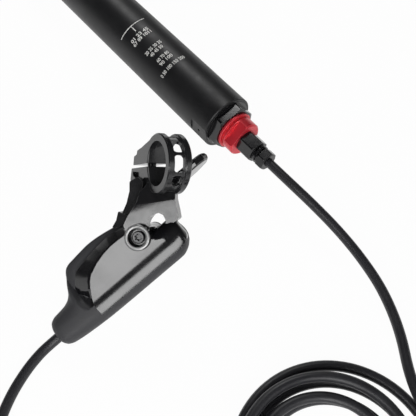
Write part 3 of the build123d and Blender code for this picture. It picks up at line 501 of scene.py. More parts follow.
class SeatpostFinishes(bpy.types.PropertyGroup):
    """Colours of the finishes, and the studio."""

    satin_black: FloatVectorProperty(
        name="Satin black", description="Anodised tubes", subtype="COLOR", size=3,
        default=(0.008, 0.008, 0.009), min=0, max=1,
    )
    gloss_black: FloatVectorProperty(
        name="Gloss black", description="Remote and fittings", subtype="COLOR", size=3,
        default=(0.004, 0.004, 0.005), min=0, max=1,
    )
    clamp_grey: FloatVectorProperty(
        name="Clamp grey", description="Blasted clamp", subtype="COLOR", size=3,
        default=(0.010, 0.010, 0.011), min=0, max=1,
    )
    red: FloatVectorProperty(
        name="Red", description="Hose adapter", subtype="COLOR", size=3,
        default=(0.62, 0.03, 0.045), min=0, max=1,
    )
    steel: FloatVectorProperty(
        name="Steel", description="Bright steel", subtype="COLOR", size=3,
        default=(0.5, 0.5, 0.51), min=0, max=1,
    )
    rubber: FloatVectorProperty(
        name="Rubber", description="Boot and seals", subtype="COLOR", size=3,
        default=(0.032, 0.032, 0.035), min=0, max=1,
    )
    hose: FloatVectorProperty(
        name="Hose", description="Hose jacket", subtype="COLOR", size=3,
        default=(0.018, 0.018, 0.021), min=0, max=1,
    )
    print_white: FloatVectorProperty(
        name="Print", description="Printed marks", subtype="COLOR", size=3,
        default=(0.75, 0.75, 0.72), min=0, max=1,
    )
    floor: FloatVectorProperty(
        name="Floor", description="Studio floor", subtype="COLOR", size=3,
        default=(0.93, 0.93, 0.93), min=0, max=1,
    )


# Studio: the camera looks down on the floor from the foot's side
CAMERA_PLACE = (0.17028, -0.15187, 0.28333)
CAMERA_AZIMUTH = 50.879
CAMERA_ELEVATION = 58.523
CAMERA_LENS = 57.115
CAMERA_SENSOR = 36.0
CAMERA_CLIP = (0.01, 20.0)
FLOOR_HALF = 6.0
FLOOR_GLOW = 0.97

# The sky's brightness with height and along X: where it starts and ends to change, from what and to what
SKY_RISE = (0.05, 0.50, 0.42, 0.10)
SKY_SIDE = (-0.5, 0.4, 0.14, 0.85)

# Each lamp's name, its way from the aim, the way its length runs, its distance, its sizes and its power
LAMPS = [
    ("Key_softbox", (0.206, -0.700, 0.684), REMOTE_RUN, 0.80, (0.27, 0.17), 1.15),
    ("Strip_softbox", (0.725, -0.516, 0.448), REMOTE_RUN, 0.80, (0.55, 0.28), 3.6),
    ("Back_softbox", (-0.62, 0.38, 0.68), (1, 0, 0), 0.85, (0.30, 0.22), 1.8),
    ("Fill_softbox", (0.85, 0.35, 0.40), (0, 1, 0), 1.00, (0.50, 0.40), 0.8),
]
LAMP_AIM = Vector((0.03, -0.07, 0.01))


def faded(tree, source, fade):
    """A value that changes gently over a range of the source's."""
    names = ("From Min", "From Max", "To Min", "To Max")
    ramp = wire(
        tree, "ShaderNodeMapRange", zip(names, fade), {"Value": source}, interpolation_type="SMOOTHSTEP"
    )
    return ramp.outputs["Result"]


class SEATPOST_OT_studio(bpy.types.Operator):
    """Make the floor, the soft light and the camera"""

    bl_idname = "seatpost.studio"
    bl_label = "Studio"

    def execute(self, context):
        scene = context.scene
        form = bmesh.new()
        corners = [(x * FLOOR_HALF, y * FLOOR_HALF) for x, y in ((-1, -1), (1, -1), (1, 1), (-1, 1))]
        form.faces.new([form.verts.new((x, y, FLOOR * MM)) for x, y in corners])
        floor = bpy.data.objects.new("studio_floor", to_mesh(form))
        scene.collection.objects.link(floor)
        paper = bpy.data.materials.new("White_paper")
        paper.use_nodes = True
        tree = paper.node_tree
        matt = tree.nodes["Principled BSDF"]
        matt.inputs["Base Color"].default_value = (*scene.seatpost_finishes.floor, 1)
        matt.inputs["Roughness"].default_value = 0.9
        rays = wire(tree, "ShaderNodeLightPath")
        seen = maths(tree, "MAXIMUM", rays.outputs["Is Camera Ray"], rays.outputs["Is Glossy Ray"])
        seen = maths(tree, "MAXIMUM", seen, rays.outputs["Is Transmission Ray"])
        share = wire(tree, "ShaderNodeMath", {1: FLOOR_GLOW}, {0: seen}, operation="MULTIPLY")
        glow = wire(tree, "ShaderNodeEmission", {"Color": (1, 1, 1, 1), "Strength": 1.0})
        both = wire(
            tree, "ShaderNodeMixShader", {},
            {0: share.outputs["Value"], 1: matt.outputs["BSDF"], 2: glow.outputs["Emission"]},
        )
        tree.links.new(both.outputs["Shader"], tree.nodes["Material Output"].inputs["Surface"])
        floor.data.materials.append(paper)

        world = bpy.data.worlds.new("Studio")
        scene.world = world
        world.use_nodes = True
        tree = world.node_tree
        way = wire(tree, "ShaderNodeTexCoord").outputs["Generated"]
        parts = wire(tree, "ShaderNodeSeparateXYZ", {}, {"Vector": way}).outputs
        shade = maths(
            tree, "MULTIPLY", faded(tree, parts["Z"], SKY_RISE), faded(tree, parts["X"], SKY_SIDE)
        )
        back = tree.nodes["Background"]
        tree.links.new(shade, back.inputs["Color"])
        back.inputs["Strength"].default_value = 1.0

        for name, way, length_way, distance, size, power in LAMPS:
            data = bpy.data.lights.new(name, "AREA")
            data.shape, data.size, data.size_y, data.energy = "RECTANGLE", *size, power
            lamp = bpy.data.objects.new(name, data)
            scene.collection.objects.link(lamp)
            aim = Vector(way).normalized()
            lamp.matrix_world = frame_of(LAMP_AIM + aim * distance, length_way, aim)

        data = bpy.data.cameras.new("Camera")
        data.lens, data.sensor_width = CAMERA_LENS, CAMERA_SENSOR
        data.clip_start, data.clip_end = CAMERA_CLIP
        camera = bpy.data.objects.new("Camera", data)
        scene.collection.objects.link(camera)
        camera.location = CAMERA_PLACE
        camera.rotation_euler = (math.radians(90 - CAMERA_ELEVATION), 0, math.radians(CAMERA_AZIMUTH))
        scene.camera = camera
        scene.view_settings.view_transform = "Standard"
        return {"FINISHED"}


# Hose: it leaves the post's nut, lies down, winds into a loose coil and runs up to the boot
POST_LEAD = [
    (34.0, 0.0, 0.0), (50.0, 0.0, 0.0), (66.0, 1.8, -3.2), (84.0, 3.2, -7.2), (102.0, 2.2, -9.8),
    (121.0, -2.2, -10.3), (140.5, -11.5, -10.3),
]
REMOTE_LEAD = [
    (40.6, -147.6, -15.7), (43.6, -157.4, -16.0), (49.4, -169.2, -16.0), (58.4, -181.2, -16.0),
    (73.0, -191.0, -16.0), (91.5, -195.6, -16.0), (112.0, -193.4, -16.0), (132.0, -185.4, -16.0),
    (150.4, -172.4, -16.0), (165.6, -156.6, -16.0), (179.0, -139.6, -16.0),
]
REMOTE_EXIT_RUN = 5.0
LEAD_LAST_RUN = 18.0
COIL_CENTRE = (163.6, -75.9)
COIL_OUTER = 49.1
COIL_TOP = 46.0
COIL_INNER = 28.4
COIL_START = 70.0
TOP_TURNS = 2.0
CLIMB_TURNS = 0.5
BOTTOM_TURNS = 2.79
COIL_DRIFT = 0.2
DRIFT_ANGLE = 250.0
COIL_FLOOR = -16.0
LAYER_RISE = 5.7
POINTS_PER_TURN = 16


def winding(turn):
    """The coil's centre line: in on the top layer, down a layer, and out below."""
    if turn < TOP_TURNS:
        radius, rise = COIL_TOP + (COIL_INNER - COIL_TOP) * turn / TOP_TURNS, 1.0
    elif turn < TOP_TURNS + CLIMB_TURNS:
        radius, rise = COIL_INNER, (1 + math.cos(math.pi * (turn - TOP_TURNS) / CLIMB_TURNS)) / 2
    else:
        share = (turn - TOP_TURNS - CLIMB_TURNS) / BOTTOM_TURNS
        radius, rise = COIL_INNER + (COIL_OUTER - COIL_INNER) * share, 0.0
    angle = math.radians(COIL_START - 360 * turn)
    drift, way = COIL_DRIFT * (COIL_OUTER - radius), math.radians(DRIFT_ANGLE)
    return Vector((
        COIL_CENTRE[0] + drift * math.cos(way) + radius * math.cos(angle),
        COIL_CENTRE[1] + drift * math.sin(way) + radius * math.sin(angle),
        COIL_FLOOR + LAYER_RISE * rise,
    ))


def hose_points(diameter):
    """The hose's route from the post's nut to the boot, in millimetres."""
    turns = TOP_TURNS + CLIMB_TURNS + BOTTOM_TURNS
    step = 0.001
    into = (winding(step) - winding(0)).normalized()
    out = (winding(turns) - winding(turns - step)).normalized()
    begin, finish = winding(0) - into * diameter, winding(turns) + out * diameter
    count = round(turns * POINTS_PER_TURN)
    coil = [winding(turns * k / count) for k in range(count + 1)]
    boot_exit = REMOTE @ ALONG_BORE @ Vector((0, 0, BOOT_END))
    run = (REMOTE @ Vector((1, 0, 0)) - REMOTE.translation).normalized()
    points = [Vector(point) for point in POST_LEAD]
    points += [begin - into * LEAD_LAST_RUN, begin, *coil, finish, finish + out * LEAD_LAST_RUN]
    points += [Vector(point) for point in reversed(REMOTE_LEAD)]
    return points + [boot_exit - run * REMOTE_EXIT_RUN, boot_exit]


class SEATPOST_OT_hose(bpy.types.Operator):
    """Lay the hydraulic hose on its route"""

    bl_idname = "seatpost.hose"
    bl_label = "Hose"

    def execute(self, context):
        diameter = context.scene.seatpost_sizes.hose_diameter
        points = hose_points(diameter / MM)
        line = bpy.data.curves.new("hydraulic_hose", "CURVE")
        line.dimensions = "3D"
        line.bevel_depth = diameter / 2
        line.bevel_resolution = 6
        line.resolution_u = 6
        spline = line.splines.new("NURBS")
        spline.points.add(len(points) - 1)
        for knot, point in zip(spline.points, points):
            knot.co = (*(point * MM), 1)
        spline.order_u = 3
        spline.use_endpoint_u = True
        hose = bpy.data.objects.new("hydraulic_hose", line)
        context.scene.collection.objects.link(hose)
        line.materials.append(finish_for("black_hose"))
        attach(hose, "post")
        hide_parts("hose_post_lead", "hose_coil", "hose_remote_lead")
        return {"FINISHED"}


class SEATPOST_OT_node_finishes(bpy.types.Operator):
    """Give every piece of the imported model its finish"""

    bl_idname = "seatpost.node_finishes"
    bl_label = "Finishes"

    def execute(self, context):
        for row in frame["record"]["subparts"]:
            held = frame["nodes"][row["node"]]
            finish = finish_for(row["material_slot"])
            if not held.material_slots:
                held.data.materials.append(finish)
            for slot in held.material_slots:
                slot.material = finish
        return {"FINISHED"}


# Lower tube
TUBE_FLAT = 12.0
TUBE_FLAT_DEPTH = 0.7
TUBE_WALL = 1.7
TUBE_CHAMFER = 0.5
VENT_PLACE = -6.0
VENT_RADIUS = 0.8
TUBE_STEPS = 192
TUBE_SHARP = 12


def flattened_tube():
    """The lower tube, turned, with a milled flat near its foot."""
    flat = TUBE_RADIUS - TUBE_FLAT_DEPTH
    inside = TUBE_RADIUS - TUBE_WALL
    rings = [
        (TUBE_TOP, TUBE_RADIUS, False), (TUBE_FOOT - TUBE_FLAT, TUBE_RADIUS, False),
        (TUBE_FOOT - TUBE_FLAT, TUBE_RADIUS, True), (TUBE_FOOT - TUBE_CHAMFER, TUBE_RADIUS, True),
        (TUBE_FOOT, TUBE_RADIUS - TUBE_CHAMFER, True), (TUBE_FOOT, inside, False),
        (TUBE_TOP, inside, False),
    ]
    form = bmesh.new()
    made = []
    for along, radius, milled in rings:
        ring = []
        for step in range(TUBE_STEPS):
            angle = 2 * math.pi * step / TUBE_STEPS
            y, z = radius * math.cos(angle), radius * math.sin(angle)
            ring.append(form.verts.new((along, max(y, -flat) if milled else y, z)))
        made.append(ring)
    for here, there in zip(made, made[1:] + made[:1]):
        for step in range(TUBE_STEPS):
            after = (step + 1) % TUBE_STEPS
            corners = (here[step], here[after], there[after], there[step])
            if len({tuple(corner.co) for corner in corners}) > 2:
                form.faces.new(corners)
    bmesh.ops.remove_doubles(form, verts=form.verts, dist=WELD)
    mesh = to_mesh(form)
    drill = frame_of((VENT_PLACE, -flat - TUBE_FLAT_DEPTH, 0), (1, 0, 0), (0, 1, 0))
    vent = moved(block(circle(VENT_RADIUS), -TUBE_FLAT_DEPTH, 2 * TUBE_WALL), drill)
    mesh = combined(mesh, vent)
    for face in mesh.polygons:
        face.use_smooth = True
    mesh.set_sharp_from_angle(angle=math.radians(TUBE_SHARP))
    return mesh


class SEATPOST_OT_lower_tube(bpy.types.Operator):
    """Make the lower tube with its milled flat and vent"""

    bl_idname = "seatpost.lower_tube"
    bl_label = "Lower tube"

    def execute(self, context):
        place("tube_shell", flattened_tube(), WHOLE, "post", "satin_black_anodised", ["lower_tube"])
        return {"FINISHED"}


# Printed marks: an insertion line with its tick, and rows of plain numbers, wrapped round the tube
PRINT_TURN = -20.0
PRINT_LIFT = 0.03
PRINT_THICKNESS = 0.02
PRINT_BOLD = 0.022
INSERTION_PLACE = -80.0
INSERTION_SPREAD = 34.7
TICK_LENGTH = 5.0

# Each row's place along the tube, its numerals, and the degrees round the tube that they take up
NUMBER_ROWS = [
    (-71.9, "01 23 45", 47.0), (-69.1, "67 89 1011", 49.0), (-58.8, "20 25 30 35", 43.0),
    (-55.5, "40 45 50", 33.0), (-49.8, "60 70 80", 31.0), (-46.7, "90 100", 33.0),
    (-41.5, "0 50 100 150 200", 65.0),
]


def wrapped(form):
    """Wraps flat print, drawn with X round the tube and Y towards its top, onto the tube."""
    for corner in form.verts:
        angle = math.radians(PRINT_TURN) + corner.co.x / TUBE_RADIUS
        radius = TUBE_RADIUS + PRINT_LIFT + corner.co.z
        corner.co = (-corner.co.y, radius * math.sin(angle), radius * math.cos(angle))


def numerals(text, height, spread, along):
    """A row of numerals as a flat form, centred, with its middle at a place along the tube."""
    line = bpy.data.curves.new("numerals", "FONT")
    line.body = text
    line.align_x, line.align_y = "CENTER", "CENTER"
    line.extrude = PRINT_THICKNESS / 2
    line.resolution_u = 3
    line.offset = PRINT_BOLD
    holder = bpy.data.objects.new("numerals", line)
    bpy.context.scene.collection.objects.link(holder)
    bpy.context.view_layer.update()
    graph = bpy.context.evaluated_depsgraph_get()
    mesh = bpy.data.meshes.new_from_object(holder.evaluated_get(graph))
    bpy.data.objects.remove(holder)
    form = bmesh.new()
    form.from_mesh(mesh)
    wide = max(v.co.x for v in form.verts) - min(v.co.x for v in form.verts)
    tall = max(v.co.y for v in form.verts) - min(v.co.y for v in form.verts)
    width = math.radians(spread) * TUBE_RADIUS
    for corner in form.verts:
        corner.co = (corner.co.x * width / wide, corner.co.y * height / tall - along, corner.co.z)
    wrapped(form)
    return form


def band(spread, low, high):
    """A narrow printed band round the tube."""
    form = bmesh.new()
    half = math.radians(spread) * TUBE_RADIUS
    steps = max(2, round(half))
    rings = []
    for step in range(steps + 1):
        x = half * (2 * step / steps - 1)
        rings.append([
            form.verts.new((x, -along, lift)) for along, lift in
            ((low, 0), (high, 0), (high, PRINT_THICKNESS), (low, PRINT_THICKNESS))
        ])
    for here, there in zip(rings, rings[1:]):
        for side in range(4):
            after = (side + 1) % 4
            form.faces.new((here[side], here[after], there[after], there[side]))
    form.faces.new(rings[0])
    form.faces.new(rings[-1])
    wrapped(form)
    return form


class SEATPOST_OT_tube_print(bpy.types.Operator):
    """Print the insertion line and plain numbers on the tube"""

    bl_idname = "seatpost.tube_print"
    bl_label = "Tube print"

    def execute(self, context):
        sizes = context.scene.seatpost_sizes
        half = sizes.mark_width / MM / 2
        forms = [
            band(INSERTION_SPREAD, INSERTION_PLACE - half, INSERTION_PLACE + half),
            band(
                math.degrees(half / TUBE_RADIUS), INSERTION_PLACE + half, INSERTION_PLACE + TICK_LENGTH
            ),
        ]
        for along, text, spread in NUMBER_ROWS:
            forms.append(numerals(text, sizes.numeral_height / MM, spread, along))
        whole = bmesh.new()
        for form in forms:
            part = bpy.data.meshes.new("part")
            form.to_mesh(part)
            form.free()
            whole.from_mesh(part)
            bpy.data.meshes.remove(part)
        ink = surface("White_print", context.scene.seatpost_finishes.print_white, 0.0, 0.55, 0.3, 0.1)
        place("tube_print", to_mesh(whole), WHOLE, "post", "white_plastic", finish=ink)
        return {"FINISHED"}


# Foot fittings. Their hexagons and flats are all turned by the same angle about the tube
FLATS_TURN = math.radians(37.0)
FOOT_FLATS = 24.0
FOOT_RADIUS = 13.5
FOOT_CONE = 1.3
FOOT_PLUG = 10.0
PLUG_LAP = 0.2
FLANGE_RADIUS = 11.0
FLANGE_WIDTH = 1.6
FLANGE_CHAMFER = 0.3
GROOVE_RADIUS = 9.2
GROOVE_WIDTH = 1.1
ADAPTER_RADIUS = 10.0
ADAPTER_CHAMFER = 0.8
ADAPTER_FLATS = 15.0
ADAPTER_SHOULDER = 1.0
FLAT_REACH = 20
COUPLING_FLATS = 11.8
COUPLING_RADIUS = 6.6
COUPLING_CONE = 0.7
NECK_START = ADAPTER_FACE + 10.3
NECK_RADIUS = 4.3
NECK_PROFILE = [
    (-0.4, 0), (-0.4, NECK_RADIUS), (1.0, NECK_RADIUS), (1.2, 5.2), (2.2, 5.2), (2.4, NECK_RADIUS),
]
HOSE_NUT_FLATS = 10.0
HOSE_NUT_RADIUS = 5.6
HOSE_NUT_CONE = 1.0
HOSE_NUT_BORE = 2.5


def nut_form(low, high, radius, flats, cone, bore=0.0):
    """A hexagon nut with its corners turned to cones at both ends."""
    body = turned([
        (low, bore), (low, radius - cone), (low + cone * 0.6, radius), (high - cone * 0.6, radius),
        (high, radius - cone), (high, bore),
    ])
    hexagon = block(polygon(6, flats, FLATS_TURN), low - 1, high + 1)
    return combined(body, hexagon, operation="INTERSECT")


def foot_form():
    """The foot nut with the plug that fills the tube's end."""
    inside = TUBE_RADIUS - TUBE_WALL
    plug = turned([(-FOOT_PLUG, 0), (-FOOT_PLUG, inside), (PLUG_LAP, inside), (PLUG_LAP, 0)])
    head = nut_form(0, FOOT_FACE, FOOT_RADIUS, FOOT_FLATS, FOOT_CONE)
    return combined(head, plug, operation="UNION")


def adapter_form():
    """The hose adapter: a flange, a groove, and a round body with two flats."""
    flange_end = FOOT_FACE + FLANGE_WIDTH
    body_start = flange_end + GROOVE_WIDTH
    adapter = turned([
        (FOOT_FACE, 0), (FOOT_FACE, FLANGE_RADIUS - FLANGE_CHAMFER),
        (FOOT_FACE + FLANGE_CHAMFER, FLANGE_RADIUS), (flange_end - FLANGE_CHAMFER, FLANGE_RADIUS),
        (flange_end, FLANGE_RADIUS - FLANGE_CHAMFER), (flange_end, GROOVE_RADIUS),
        (body_start, GROOVE_RADIUS), (body_start, ADAPTER_RADIUS - FLANGE_CHAMFER),
        (body_start + FLANGE_CHAMFER, ADAPTER_RADIUS), (ADAPTER_FACE - ADAPTER_CHAMFER, ADAPTER_RADIUS),
        (ADAPTER_FACE, ADAPTER_RADIUS - ADAPTER_CHAMFER), (ADAPTER_FACE, 0),
    ])
    for side in (-1, 1):
        middle = side * (ADAPTER_FLATS / 2 + ADAPTER_RADIUS)
        corners = [
            (-FLAT_REACH, middle - ADAPTER_RADIUS), (FLAT_REACH, middle - ADAPTER_RADIUS),
            (FLAT_REACH, middle + ADAPTER_RADIUS), (-FLAT_REACH, middle + ADAPTER_RADIUS),
        ]
        cut = block(corners, body_start + ADAPTER_SHOULDER, ADAPTER_FACE + 1)
        adapter = combined(adapter, moved(cut, Matrix.Rotation(FLATS_TURN, 4, "Z")))
    return adapter


def coupling_form():
    """The coupling's hexagon and its neck with a raised ring."""
    neck = [(NECK_START + along, radius) for along, radius in NECK_PROFILE]
    neck = turned([*neck, (COUPLING_FACE, NECK_RADIUS), (COUPLING_FACE, 0)])
    head = nut_form(ADAPTER_FACE, NECK_START, COUPLING_RADIUS, COUPLING_FLATS, COUPLING_CONE)
    return combined(head, neck, operation="UNION")


class SEATPOST_OT_foot_fittings(bpy.types.Operator):
    """Make the foot nut, the red adapter, the coupling and the hose nut"""

    bl_idname = "seatpost.foot_fittings"
    bl_label = "Foot fittings"

    def execute(self, context):
        ease = context.scene.seatpost_sizes.fitting_round / MM
        nut = nut_form(
            COUPLING_FACE, NUT_FACE, HOSE_NUT_RADIUS, HOSE_NUT_FLATS, HOSE_NUT_CONE, HOSE_NUT_BORE
        )
        rows = [
            ("foot_hexagon", foot_form(), "gloss_black_anodised", "foot_nut"),
            ("red_adapter", adapter_form(), "red_anodised", "hose_adapter"),
            ("hose_coupling_hexagon", coupling_form(), "gloss_black_anodised", "hose_coupling"),
            ("hose_nut_hexagon", nut, "black_steel", "hose_nut"),
        ]
        for name, form, slot, node in rows:
            place(name, eased(form, ease), POST, "post", slot, [node])
        return {"FINISHED"}


# Remote, drawn in its own frame. The gloss casting lies in a satin shell that runs on into the boot
SEAM_Y = -15.9
CROWN_EDGE = -8.5
CROWN_BEND = 0.056
CROWN_POWER = 2.3
CROWN_START = -36.2
BARREL_FALL = 6.4
DOME_END = 17.4
FACE_ROLL = 3.0
FACE_REACH = 21.6
FACE_LEFT_HALF = 6.8
DOME_START = 9.5
DOME_ROUND = 2.4
DOME_CUT = 3.0
DOME_TILT = 0.12
DOME_DRAW = 0.6
DOME_STEPS = 8
DENSE_START = -30
SKIN_DEPTH = 1.8
SKIN_LEAST = 0.5
SKIN_TOE = 0.4
FACE_RIGHT = [(0.5, 2.0), (3.0, -3.2), (6.0, -6.5), (8.6, -9.0)]
RIM_LEVEL = -5.2
RIM = [
    (-36.4, -11.0), (-37.2, -4.6), (-40.3, -1.6), (-39.9, 1.6), (-35.4, 7.0), (-27.3, 8.6), (-19.7, 9.6),
    (-13.1, 10.0), (-8.7, 9.9), (-2.5, 8.0), (0.9, 5.4), (4.6, 2.2), (8.6, -1.8), (24.0, -1.8),
]
FACE = [
    (-36.0, -11.0), (-34.8, -7.9), (-32.4, -3.9), (-30.3, -1.2), (-27.6, 1.1), (-22.5, 3.2), (-17.0, 4.5),
    (-12.3, 5.0), (-7.5, 4.9), (-2.0, 4.4), (0.5, 2.6), (3.2, -0.4), (7.6, -3.4), (24.0, -3.6),
]
BEYOND = [(24.0, -24.0), (-36.2, -24.0)]
OUTLINE_ROUND = 9.0
OUTLINE_STEPS = 10

# The bevelled sides: each level, and its shares of the rim's and of the face's outline
WING_LEVELS = [
    (-12.0, 1.0, 0.0), (RIM_LEVEL, 1.0, 0.0), (-0.75, 0.2, 0.8), (0.0, 0.0, 1.0), (0.4, -0.1, 1.1),
]
BOSS = [(-9, 0), (-9, 5.95), (1.15, 5.95), (1.4, 5.7), (1.4, 0)]
BOSS_HOLLOW = [(-3.5, 0), (-3.5, 4.3), (5, 4.3), (5, 0)]
BOSS_RING = [(1.38, 4.4), (1.38, 5.6), (1.46, 5.5), (1.46, 4.5)]
BOSS_COLOUR = (0.24, 0.24, 0.24)
CASTING_SHARP = 24

# Shell stations: their place along, both sides across, and the rise and fall from SHELL_MIDDLE
SHELL_STATIONS = [
    (16.6, -6.4, -11.6, 3.6, 4.4), (16.2, -5.0, -13.2, 5.0, 5.8), (15.2, -3.8, -15.2, 6.2, 7.0),
    (13.4, -2.8, -17.1, 7.2, 7.5), (11.0, -2.2, -18.5, 7.7, 7.6), (9.0, -1.8, -19.1, 7.8, 7.6),
    (7.0, -1.0, -19.15, 7.8, 7.6), (5.0, 0.6, -19.15, 7.8, 7.6), (3.0, 3.0, -19.15, 7.8, 7.6),
    (0.0, 7.4, -19.15, 8.0, 7.6), (-3.0, 10.0, -19.15, 8.1, 7.6), (-7.0, 11.6, -19.15, 8.1, 7.6),
    (-15.0, 13.2, -19.15, 8.1, 7.6), (-23.0, 14.0, -19.15, 8.1, 7.6), (-31.0, 13.2, -19.1, 8.1, 7.6),
    (-36.0, 12.8, -19.0, 8.1, 7.5), (-38.5, 12.0, -18.9, 8.0, 7.4), (-40.5, 9.8, -18.8, 8.0, 7.4),
    (-42.5, 5.8, -18.7, 8.0, 7.3), (-44.5, 2.1, -18.6, 8.0, 7.3), (-47.0, 0.0, -18.4, 8.1, 7.2),
    (-50.0, -1.1, -18.2, 8.2, 7.0), (-54.0, -1.6, -17.8, 8.3, 6.8), (-57.4, -1.9, -17.3, 8.2, 6.4),
    (-59.4, -2.7, -16.5, 7.4, 5.8), (-60.5, -4.1, -15.4, 6.0, 4.8), (-60.8, -5.6, -14.2, 4.6, 3.6),
]
SHELL_MIDDLE = -9.0
SHELL_POWER = 2.4
SHELL_LEDGE = 3.2

# How far across the shell sinks to the casting's ledge, at places along it
SHELL_DROPS = [(-36.4, 0.8), (-38.5, 5.0), (-40.5, 12.0), (-43.0, 60.0)]
SHELL_STEPS = 28
STATION_PARTS = 4
STATION_PASSES = 3
SHELL_EASE = 0.25
SHELL_SHARP = 35
BED_CORNER = (8.6, -11.0)
BED_ROUND = 2.0
BED_GAP = 0.05
BED_TOP = 4.0
HOSE_WAY = [(-1, 0), (-1, 3.2), (0.6, 2.56), (6, 2.56), (6, 0)]
PIVOT_WAY_RADIUS = 6.6
PIVOT_WAY_LEVELS = (-20, 4)


def smooth(share):
    """A share from 0 to 1 that starts and ends gently."""
    share = min(1.0, max(0.0, share))
    return share * share * (3 - 2 * share)


def between(rows, place):
    """The row of values at a place, between rows that start with their places in falling order."""
    if place >= rows[0][0]:
        return rows[0][1:]
    for one, other in zip(rows, rows[1:]):
        if place >= other[0]:
            share = smooth((one[0] - place) / (one[0] - other[0]))
            return [a + (b - a) * share for a, b in zip(one[1:], other[1:])]
    return rows[-1][1:]


def shell_section(x, left, right, rise, fall):
    """The satin shell's closed section at a station, over its top and back below."""
    drop = between(SHELL_DROPS, x)[0]
    top, bottom = [], []
    for step in range(SHELL_STEPS + 1):
        turn = math.cos(math.pi * step / SHELL_STEPS)
        half = right - BORE.y if turn > 0 else left - BORE.y
        y = BORE.y + abs(turn) * half
        full = (1 - abs(turn) ** SHELL_POWER) ** (1 / SHELL_POWER)
        height = rise
        if turn < 0 and x < DOME_END - DOME_ROUND:
            height = rise + (SHELL_LEDGE - rise) * smooth((y - BORE.y) / drop)
        top.append((x, y, SHELL_MIDDLE + height * full))
        bottom.append((x, y, SHELL_MIDDLE - fall * full))
    return top + bottom[-2:0:-1]


def shell_stations():
    """The shell's stations with others between them, so that its skin is smooth."""
    made = []
    for one, other in zip(SHELL_STATIONS, SHELL_STATIONS[1:]):
        for part in range(STATION_PARTS):
            made.append([a + (b - a) * part / STATION_PARTS for a, b in zip(one, other)])
    made.append(list(SHELL_STATIONS[-1]))
    for _ in range(STATION_PASSES):
        middle = [
            [row[0], *[(a + 2 * b + c) / 4 for a, b, c in zip(before[1:], row[1:], after[1:])]]
            for before, row, after in zip(made, made[1:], made[2:])
        ]
        made = [made[0], *middle, made[-1]]
    return made


def satin_shell():
    """The satin lower shell and boot, open where the casting lies in it and where the hose leaves."""
    mesh = stacked([shell_section(*row) for row in shell_stations()], weld=WELD)
    bed = block(rounded([*RIM[:-1], BED_CORNER], BED_ROUND), RIM_LEVEL - BED_GAP, BED_TOP)
    hose_way = moved(turned([(BOOT_END + along, radius) for along, radius in HOSE_WAY]), ALONG_BORE)
    pivot_way = block(circle(PIVOT_WAY_RADIUS), *PIVOT_WAY_LEVELS)
    return combined(mesh, bed, hose_way, pivot_way)


def face_end(y):
    """Where along the body the flat face ends at this place across it."""
    for one, other in zip(FACE_RIGHT, FACE_RIGHT[1:]):
        if y >= other[1]:
            return one[0] + (other[0] - one[0]) * min(1.0, (one[1] - y) / (one[1] - other[1]))
    return FACE_RIGHT[-1][0]


def crown_section(x, inset_by=0.0):
    """The casting's closed section: a crown over the master cylinder that runs into the flat face."""
    cut = min(1.0, max(0.0, (x - DOME_START) / (DOME_END - DOME_START)))
    near = (CROWN_EDGE - SEAM_Y) - inset_by * DOME_DRAW - DOME_CUT * (1 - math.sqrt(1 - cut**2))
    low = RIM_LEVEL - SKIN_DEPTH
    tilt = DOME_TILT * max(0.0, x - FACE_RIGHT[-1][0])
    points = []
    for step in range(SHELL_STEPS + 1):
        out = near * (1 - step / SHELL_STEPS)
        fall = CROWN_BEND * (out * (CROWN_EDGE - SEAM_Y) / near) ** 2 / 2
        points.append((x, CROWN_EDGE - out, -fall - tilt - inset_by))
    left = FACE_LEFT_HALF - inset_by
    for step in range(1, SHELL_STEPS + 1):
        out = FACE_REACH * step / SHELL_STEPS
        t = min(1.0, out / left)
        barrel = BARREL_FALL * (1 - (1 - t**CROWN_POWER) ** (1 / CROWN_POWER))
        roll = smooth((x - face_end(CROWN_EDGE + out)) / FACE_ROLL)
        points.append((x, CROWN_EDGE + out, max(low + SKIN_LEAST, -barrel * roll - tilt - inset_by)))
    return [*points, (x, CROWN_EDGE + FACE_REACH, low), (x, points[0][1] + SKIN_TOE, low)]


def gloss_casting():
    """The gloss casting: its crowned upper skin cut to the bevelled outline, with the pivot boss."""
    sections = [crown_section(RIM[2][0] - 2), crown_section(CROWN_START - 2)]
    halves = range(2 * DENSE_START, round(2 * (DOME_END - DOME_ROUND)))
    sections += [crown_section(half / 2) for half in halves]
    for step in range(1, DOME_STEPS + 1):
        turn = math.pi / 2 * step / DOME_STEPS
        sections.append(
            crown_section(DOME_END - DOME_ROUND * (1 - math.sin(turn)), DOME_ROUND * (1 - math.cos(turn)))
        )
    skin = stacked(sections, weld=WELD)
    rim = rounded(RIM + BEYOND, OUTLINE_ROUND, OUTLINE_STEPS)
    face = rounded(FACE + BEYOND, OUTLINE_ROUND, OUTLINE_STEPS)
    wing = stacked([
        [(a[0] * of_rim + b[0] * of_face, a[1] * of_rim + b[1] * of_face, level) for a, b in zip(rim, face)]
        for level, of_rim, of_face in WING_LEVELS
    ])
    mesh = combined(skin, wing, operation="INTERSECT")
    return combined(combined(mesh, turned(BOSS), operation="UNION"), turned(BOSS_HOLLOW))


class SEATPOST_OT_remote_shell(bpy.types.Operator):
    """Make the remote's gloss casting, its satin shell with the boot, and the boss ring"""

    bl_idname = "seatpost.remote_shell"
    bl_label = "Remote shell"

    def execute(self, context):
        ease = context.scene.seatpost_sizes.edge_round / MM
        casting = eased(gloss_casting(), ease, angle=CASTING_SHARP)
        place("remote_casting", casting, REMOTE, "post", "gloss_black_anodised", ["remote_body", "end_cap"])
        shell = eased(satin_shell(), SHELL_EASE, angle=SHELL_SHARP)
        place("remote_boot", shell, REMOTE, "post", "black_rubber", ["hose_boot"])
        bright = surface("Turned_boss_face", BOSS_COLOUR, 1.0, 0.34, 0.3, 0.03)
        place("boss_face", turned(BOSS_RING), REMOTE, "post", "bright_steel", finish=bright)
        return {"FINISHED"}


